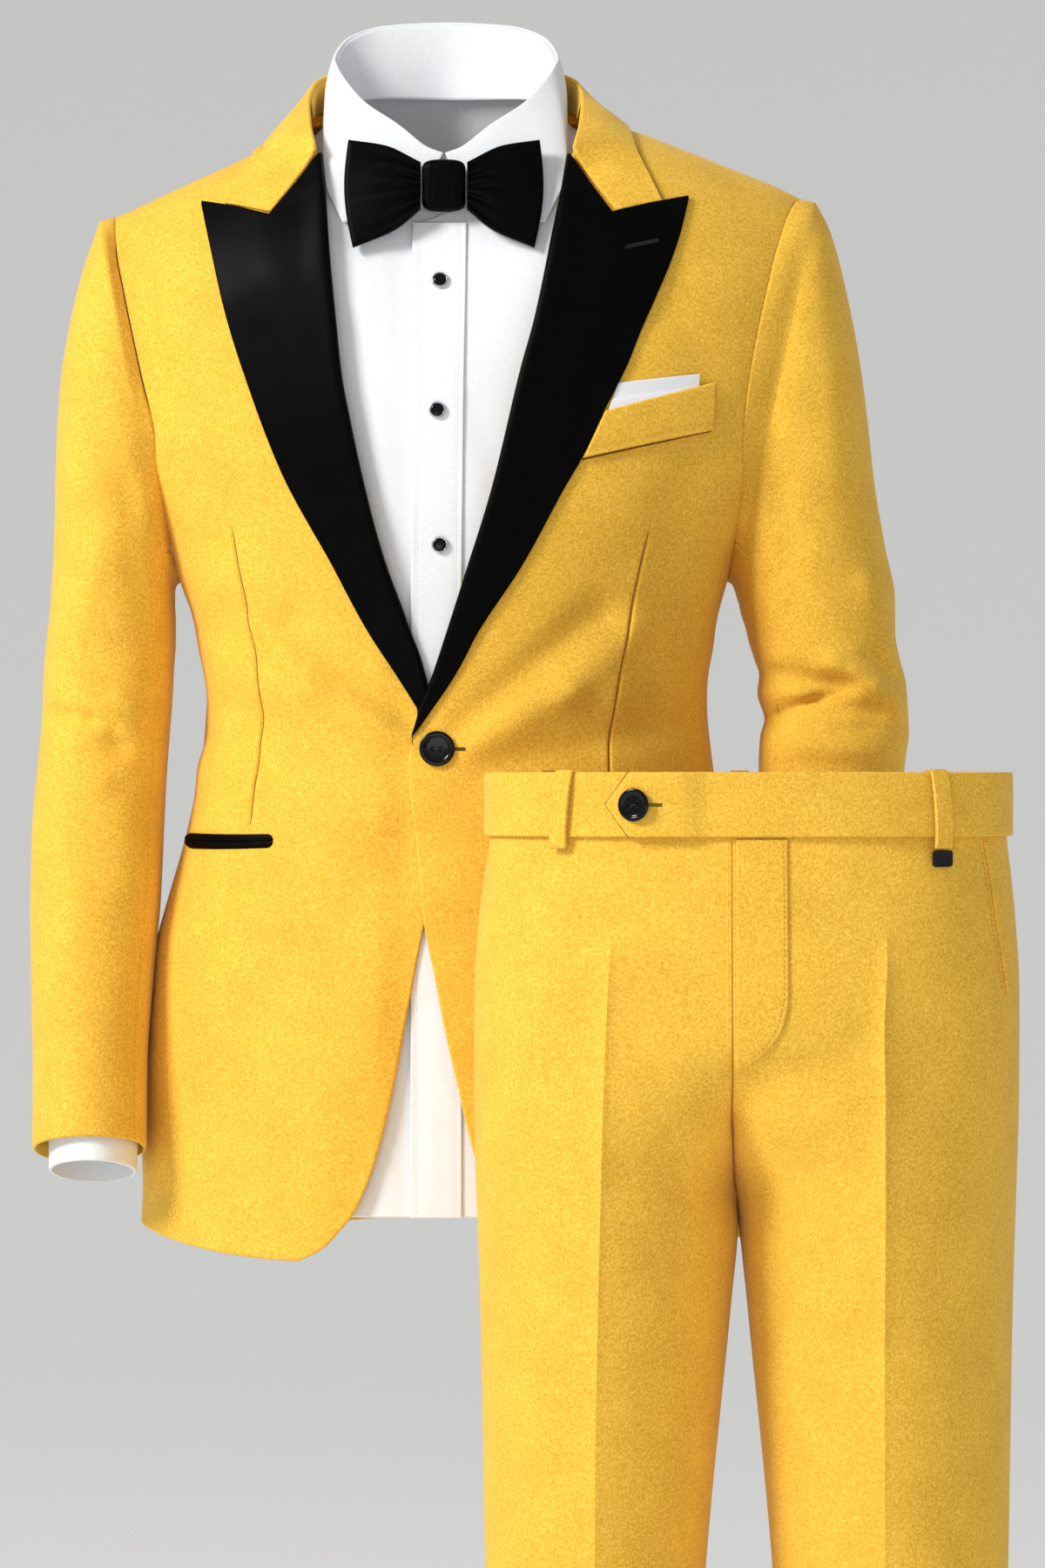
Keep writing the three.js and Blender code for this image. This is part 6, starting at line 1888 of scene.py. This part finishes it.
def trouser_panel(leg, name, face):
    z = TROUSER_ROWS[:, None]
    step = (1 - np.cos(math.pi * np.linspace(0, 1, HALF_COLUMNS + 1))) / 2
    pressed = trouser_q(leg, CREASE.at(z, leg), z)
    place = np.concatenate([mix(-1, pressed, step[None]), mix(pressed, 1, step[None, 1:])], axis=1)
    points = trouser_point(leg, face, place, z)
    normals = trouser_normal(leg, face, place, z)
    parted = leg_share(TROUSER_ROWS) >= 1
    points[:, -1, 1] = TROUSER_MID_Y
    points[parted, 0, 1] = TROUSER_MID_Y
    normals[:, -1, 1] = 0
    normals[parted, 0, 1] = 0
    normals = unit(normals)
    x = points[..., 0]
    across = lengths_along(points, 1)
    near = np.minimum(across, across[:, -1:] - across)
    height = segments_height(TROUSER_FRONT_FOLDS if face < 0 else TROUSER_BACK_FOLDS, x, z)
    sharpness = CREASE.at(z, "height") / PRESSED_FULL_HEIGHT
    from_crease = np.abs(x - CREASE.at(z, leg))
    height = height * smooth(near / SIDE_FADE) + PRESSED * sharpness * np.exp(-from_crease / PRESSED_SPREAD)
    fall = edge_fall(points, LEG_SEAM_ROLL, LEG_SEAM_ROLL, 0, EDGE_ROLL)
    outer = points + normals * (height - fall)[..., None]
    inner = points + normals * (height - WOOL)[..., None]
    cloth(f"trouser_{name}_{leg}", outer, inner, normals, "wool", "hung", [f"waistband_{leg}"])


for leg in SIDES:
    trouser_panel(leg, "front", -1)
    trouser_panel(leg, "back", 1)

BAND_LIFT = 1.0
BAND_WALL = 2.8
BAND_FACE = BAND_LIFT + BAND_WALL
BAND_OVER = 3.4
BAND_MID_Z = (WAIST_TOP_Z + WAIST_SEAM_Z) / 2
BAND_CENTRE = [TROUSER_MID_X, TROUSER_MID_Y, -463]
BAND_TIP_X = 107.7
BAND_FULL_X = 121.5
BAND_TIP_HALF = 0.4
BAND_END_X = 140
BAND_EASE_X = 170
BAND_EASE_SPAN = 18
BAND_RIPPLE = 0.25
BAND_RIPPLE_SPAN = 9


def waist(column):
    return float(TROUSER.at(WAIST_SEAM_Z, column))


def waist_half(on_right):
    return np.where(on_right, TROUSER_MID_X - waist("right"), waist("left") - TROUSER_MID_X)


def band_point(turn, z, lift):
    turn, z = np.broadcast_arrays(np.asarray(turn, dtype=float), np.asarray(z, dtype=float))
    depth = np.where(np.cos(turn) < 0, waist("front"), waist("back"))
    power = 2 / BODY_ROUNDNESS
    x = TROUSER_MID_X + (waist_half(np.sin(turn) < 0) + lift) * signed_power(np.sin(turn), power)
    return xyz(x, TROUSER_MID_Y + (depth + lift) * signed_power(np.cos(turn), power), z)


def band_turn(x):
    share = (x - TROUSER_MID_X) / waist_half(x < TROUSER_MID_X)
    return math.pi - np.arcsin(signed_power(share, BODY_ROUNDNESS / 2))


def band_facing(turn):
    return unit(band_point(turn, 0, 1) - band_point(turn, 0, 0))


def band(side, end, columns, pointed):
    turn = mix(0, end, np.linspace(0, 1, columns))[None]
    t = crowded(12, 0.012)[:, None]
    x = band_point(turn, 0, 0)[..., 0]
    shown = pointed & (np.cos(turn) < 0) & (x <= BAND_EASE_X)
    closing = np.where(shown, np.clip((BAND_FULL_X - x) / (BAND_FULL_X - BAND_TIP_X), 0, 1), 0)
    extra = np.where(shown, BAND_OVER * smooth((BAND_EASE_X - x) / BAND_EASE_SPAN), 0)
    top = mix(WAIST_TOP_Z, BAND_MID_Z + BAND_TIP_HALF, closing)
    bottom = mix(WAIST_SEAM_Z, BAND_MID_Z - BAND_TIP_HALF, closing)
    z = mix(top, bottom, t)
    inner = band_point(turn, z, BAND_LIFT + extra)
    flat = band_point(turn, z, BAND_FACE + extra)
    ripple = BAND_RIPPLE * np.sin(x / BAND_RIPPLE_SPAN) * np.sin(math.pi * t)
    outer = band_point(turn, z, BAND_FACE + extra + ripple - edge_fall(flat, 0.6, 1.3, 1.5, 1.2))
    normals = grid_normals(outer, False, outer - BAND_CENTRE)
    cloth(f"waistband_{side}", outer, inner, normals, "wool", "folded",
          [f"trouser_front_{side}", f"trouser_back_{side}"])


# A line of painted shade round the pointed tab of the waistband, where its edge casts a thin shadow
def band_tip_painted_shade():
    half = np.linspace(0, 1, 20)
    x = np.concatenate([mix(BAND_FULL_X, BAND_TIP_X, half), mix(BAND_TIP_X, BAND_FULL_X, half[1:])])
    z = np.concatenate([mix(WAIST_TOP_Z, BAND_MID_Z, half), mix(BAND_MID_Z, WAIST_SEAM_Z, half[1:])])
    turn = band_turn(x - 0.8)
    painted_shade_line("band_tip_painted_shade", band_point(turn, z, BAND_FACE + 0.5), band_facing(turn), 0.75)


band("right", band_turn(BAND_END_X) - 2 * math.pi, 110, False)
band("left", band_turn(BAND_TIP_X), 190, True)
band_tip_painted_shade()

FLY_EDGE = Table(["z", "x"], [
    [-484.5, 217.5], [-582, 218], [-600, 214.8], [-614, 206], [-623, 195.5], [-629, 187],
])
FLY_TOP_Z = -484.5
FLY_FOOT_Z = -629
FLY_FOLD_X = 185.5
FLY_CROWDING = 0.8
POCKET_EDGE = Table(["z", "x"], [
    [-486.5, 345.5], [-506, 349], [-543, 354.3], [-566, 358.2], [-583, 360.5],
])
POCKET_TOP_Z = -486.5
POCKET_FOOT_Z = -583
POCKET_WIDTH = 3


def leg_patch(x, z, lift, wall, rolls, wave=0):
    """The outer face, inner face and normals of a flat piece that lies on the left leg's front."""
    q = trouser_q("left", x, z)
    normals = trouser_normal("left", -1, q, z)
    surface = trouser_point("left", -1, q, z)
    folds = segments_height(TROUSER_FRONT_FOLDS, x, z)
    outer = surface + normals * (lift + wall + wave + folds - edge_fall(surface, *rolls))[..., None]
    return outer, surface + normals * (lift + folds)[..., None], normals


def trouser_fly():
    s = crowded(16, 0.02)[None]
    z = mix(FLY_TOP_Z, FLY_FOOT_Z, crowded(60, 0.004)[:, None] ** FLY_CROWDING) + 0 * s
    x = mix(FLY_FOLD_X, FLY_EDGE.at(z, "x"), s)
    faces = leg_patch(x, z, 0.2, 1.5, (1.1, 1.2, 0.4, 0.8))
    cloth("trouser_fly", *faces, "wool", "folded", ["trouser_front_left"])


def pocket_edge():
    s = crowded(4, 0.05)[None]
    z = mix(POCKET_TOP_Z, POCKET_FOOT_Z, crowded(50, 0.004)[:, None]) + 0 * s
    faces = leg_patch(POCKET_EDGE.at(z, "x") - POCKET_WIDTH * s, z, 0.1, 1.6, (1.1, 1.1, 0.5, 0.8))
    cloth("trouser_pocket_edge_left", *faces, "wool", "folded", ["trouser_front_left"])


trouser_fly()
pocket_edge()

# Where each belt loop's top and foot stand round the waist, and the band that it is sewn on
LOOPS = Table(["loop", "top", "foot", "band"], [
    [1, band_turn(82.5), band_turn(78.5), -1],
    [2, band_turn(309), band_turn(312), 1],
    [3, 0.75, 0.75, 1],
    [4, -0.75, -0.75, -1],
    [5, 0, 0, 1],
])
LOOP_HALF = 6
LOOP_TOP_Z = -441
LOOP_FOOT_Z = -490.5
LOOP_WALL = 1.6
LOOP_ARCH = 2.2
LOOP_BASE = BAND_FACE + 0.4
LOOP_GROOVE = 0.35
LOOP_GROOVE_AT = 0.72
LOOP_EDGE_PLACES = np.array([0.78, 0.87, 0.94, 1])


def belt_loop(loop, top_turn, foot_turn, side):
    t = crowded(40, 0.006)[:, None]
    s = np.concatenate([-LOOP_EDGE_PLACES[::-1], np.linspace(-0.6, 0.6, 7), LOOP_EDGE_PLACES])[None]
    turn = mix(top_turn, foot_turn, t)
    z = mix(LOOP_TOP_Z, LOOP_FOOT_Z, t)
    arch = LOOP_ARCH * np.abs(np.sin(math.pi * t)) ** 0.6
    sideways = unit(band_point(turn + 0.03, 0, 0) - band_point(turn - 0.03, 0, 0))
    across = sideways * (LOOP_HALF * s)[..., None]
    flat = band_point(turn, z, LOOP_BASE + LOOP_WALL + arch) + across
    normals = grid_normals(flat, False, flat - BAND_CENTRE)
    groove = LOOP_GROOVE * np.exp(-((np.abs(s) - LOOP_GROOVE_AT) / 0.07) ** 2)
    outer = flat - normals * (edge_fall(flat, 1.0, 1.0, 1.0, 1.0) + groove)[..., None]
    inner = band_point(turn, z, LOOP_BASE + arch) + across
    cloth(f"belt_loop_{loop}", outer, inner, normals, "wool", "folded", [f"waistband_{side}"])


for row in LOOPS.rows:
    belt_loop(row["loop"], row["top"], row["foot"], "left" if row["band"] > 0 else "right")

TAB_X = 313.4
TAB_TOP_Z = -491.6
TAB_HALF = 6.2
TAB_HEIGHT = 10.6
TAB_HOLLOW = 0.55


def metal_tab():
    """The small plate under a belt loop, with a raised border."""
    down = 2 * crowded(30, 0.02)[:, None] - 1
    across = 2 * crowded(30, 0.02)[None] - 1
    z = TAB_TOP_Z - TAB_HEIGHT * (down + 1) / 2 + 0.8 * np.abs(across) ** 5 * down
    x = TAB_X + TAB_HALF * across * (1 - 0.05 * np.abs(down) ** 5)
    border = smooth((np.maximum(np.abs(across), np.abs(down)) - 0.72) / 0.08)
    faces = leg_patch(x, z, 2.6, 1.7, (0.6, 0.6, 0.6, 0.6), -TAB_HOLLOW * (1 - border))
    shell("loop_metal_tab_plate", *faces, "metal", ["loop_metal_tab"])


metal_tab()

WAIST_BUTTON_X = 125.6
WAIST_BUTTON_Z = -463
WAIST_BUTTON_RADIUS = 10.3
waist_turn = band_turn(WAIST_BUTTON_X)
waist_seat = band_point(waist_turn, WAIST_BUTTON_Z, BAND_FACE + BAND_OVER + 0.6)
button("waist_button", WAIST_BUTTON_RADIUS, waist_seat, band_facing(waist_turn))


# Stitches
def stitches(name, x, z, seat, facing, material, **shape):
    """A stitch row through places of the front view, at the seat and facing that are worked out for them."""
    marks = np.linspace(0, 1, len(x))
    line_x, line_z = (np.interp(np.linspace(0, 1, 160), marks, values) for values in (x, z))
    stitch_row(name, seat(line_x, line_z), facing(line_x, line_z), material, **shape)


def leg_facing(x, z):
    return trouser_normal("left", -1, trouser_q("left", x, z), z)


def on_folded_leg(x, z, lift):
    return on_trouser("left", x, z, lift + segments_height(TROUSER_FRONT_FOLDS, x, z))


FLY_STITCH = np.array([
    [214.5, -487], [214.9, -540], [214.8, -582], [211.6, -599], [203.4, -612.2], [192.6, -621.6],
    [186.5, -625],
])
stitches("fly_stitches", *FLY_STITCH.T, lambda x, z: on_folded_leg(x, z, 1.75), leg_facing,
         "yellow_thread", length=2.2, gap=1.2, width=0.4)
z = np.linspace(POCKET_TOP_Z - 2, POCKET_FOOT_Z + 1, 30)
stitches("pocket_stitches_left", POCKET_EDGE.at(z, "x") - 5.5, z, lambda x, z: on_folded_leg(x, z, 0.15),
         leg_facing, "yellow_thread", length=2.0, gap=1.3, width=0.35)


def on_folded_placket(x, z):
    return on_shirt(x, z, PLACKET_LIFT + PLACKET_SWELL + segments_height(SHIRT_FRONT_FOLDS, x, z) - 0.2)


z = np.linspace(PLACKET_TOP_Z - 4, SHIRT_TAIL_Z + 3, 200)
for name, share in (("outer", 0.884), ("inner", 0.125)):
    x, _ = placket_spots(share, (PLACKET_TOP_Z - z) / (PLACKET_TOP_Z - SHIRT_TAIL_Z))
    stitches(f"placket_stitches_{name}", x, z, on_folded_placket, front_facing,
             "white_thread", length=1.9, gap=0.9, width=0.3, height=0.22)


# Buttonholes
HOLE_STITCH_SIDES = 5
HOLE_STITCH_FULLNESS = np.array([0.7, 1.0, 0.6])
HOLE_STITCH_WIDTH = 0.3
HOLE_STITCH_HEIGHT = 0.42
SLIT_HALF = 0.15


def buttonhole(name, start, end, seat, facing, material, count, width):
    """A bar of close stitches laid across a short slit."""
    start = np.array(start)
    direction = np.array(end) - start
    normal = np.array([-direction[1], direction[0]]) / np.linalg.norm(direction)
    rings = []
    for place in np.linspace(0, 1, count):
        for edge in (-1, 1):
            reach = edge * np.array([SLIT_HALF, (SLIT_HALF + width) / 2, width])
            x, z = (start + direction * place)[:, None] + normal[:, None] * reach
            line = seat(x, z)
            forward = unit(line[-1:] - line[:1])
            rings.append(thread_rings(
                line, forward, facing(x, z), HOLE_STITCH_WIDTH, HOLE_STITCH_HEIGHT, HOLE_STITCH_SIDES,
                HOLE_STITCH_FULLNESS,
            ))
    uv = uv_grid(np.arange(3)[:, None], circle(HOLE_STITCH_SIDES))
    add_threads(name, rings, [uv] * len(rings), material)


def on_folded_front(x, z):
    return on_front(x, z, 0.1 + segments_height(FRONT_FOLDS, x, z))


def on_lapel(x, z):
    return on_front(x, z, SATIN_LIFT + WOOL + 0.35 + 0 * x)


def on_band_tip(x, z):
    return band_point(band_turn(x), z, BAND_FACE + BAND_OVER + 0.1)


def straight_ahead(x, z):
    return xyz(0 * x, -1, 0 * z)


buttonhole(
    "jacket_buttonhole", (4, -426.6), (14.5, -426.8), on_folded_front, front_facing, "dark_thread", 22, 1.1,
)
buttonhole(
    "lapel_buttonhole", (120.3, -92.1), (142.6, -86.7), on_lapel, front_facing, "black_thread", 44, 1.2,
)
buttonhole(
    "waist_buttonhole", (133.5, -463), (141.5, -463), on_band_tip, straight_ahead, "dark_thread", 16, 1.0,
)

# The stage: a pale floor that rises far away on all sides, a key light from the upper left and a pale world
STAGE_FLAT = 5.0
STAGE_RADIUS = 24.0
STAGE_FLOOR_Z = -1.494
STAGE_RISE = 8.0
STAGE_RINGS = 28
STAGE_SPOKES = 64


def stage():
    radius = np.linspace(0.2, STAGE_RADIUS, STAGE_RINGS)[:, None]
    height = STAGE_FLOOR_Z + STAGE_RISE * smooth((radius - STAGE_FLAT) / (STAGE_RADIUS - STAGE_FLAT))
    points = xyz(radius * np.cos(circle(STAGE_SPOKES)), radius * np.sin(circle(STAGE_SPOKES)), height)
    faces = grid_quads(STAGE_RINGS, STAGE_SPOKES, True).tolist() + [list(range(STAGE_SPOKES))]
    mesh = bpy.data.meshes.new("stage")
    mesh.from_pydata(points.reshape(-1, 3).tolist(), [], faces)
    mesh.update()
    mesh.shade_smooth()
    mesh.materials.append(new_material(
        "stage_paper", (0.93, 0.93, 0.925), 0.9, Emission_Color=(1, 1, 1, 1), Emission_Strength=0.10))
    floor = bpy.data.objects.new("stage", mesh)
    bpy.context.scene.collection.objects.link(floor)


stage()


def area_light(name, place, aim, size, power, color):
    data = bpy.data.lights.new(name, "AREA")
    data.shape = "RECTANGLE"
    data.size, data.size_y = size
    data.energy = power
    data.color = color
    lamp = bpy.data.objects.new(name, data)
    lamp.location = place
    x, y, z = np.array(place) - np.array(aim)
    lamp.rotation_euler = (math.atan2(math.hypot(x, y), z), 0, math.atan2(y, x) + math.pi / 2)
    bpy.context.scene.collection.objects.link(lamp)


area_light("key", (-2.75, -2.15, 1.75), (0, 0, -0.35), (1.0, 1.2), 146, (1.0, 0.985, 0.96))
area_light("low", (-0.5, -3.3, -0.9), (0, 0, -0.6), (1.2, 1.0), 8, (0.97, 0.98, 1.0))
world = bpy.data.worlds.new("world")
world.use_nodes = True
background = world.node_tree.nodes["Background"].inputs
background["Color"].default_value = (0.96, 0.96, 0.95, 1)
background["Strength"].default_value = 0.48
bpy.context.scene.world = world
bpy.context.scene.view_settings.view_transform = "Standard"
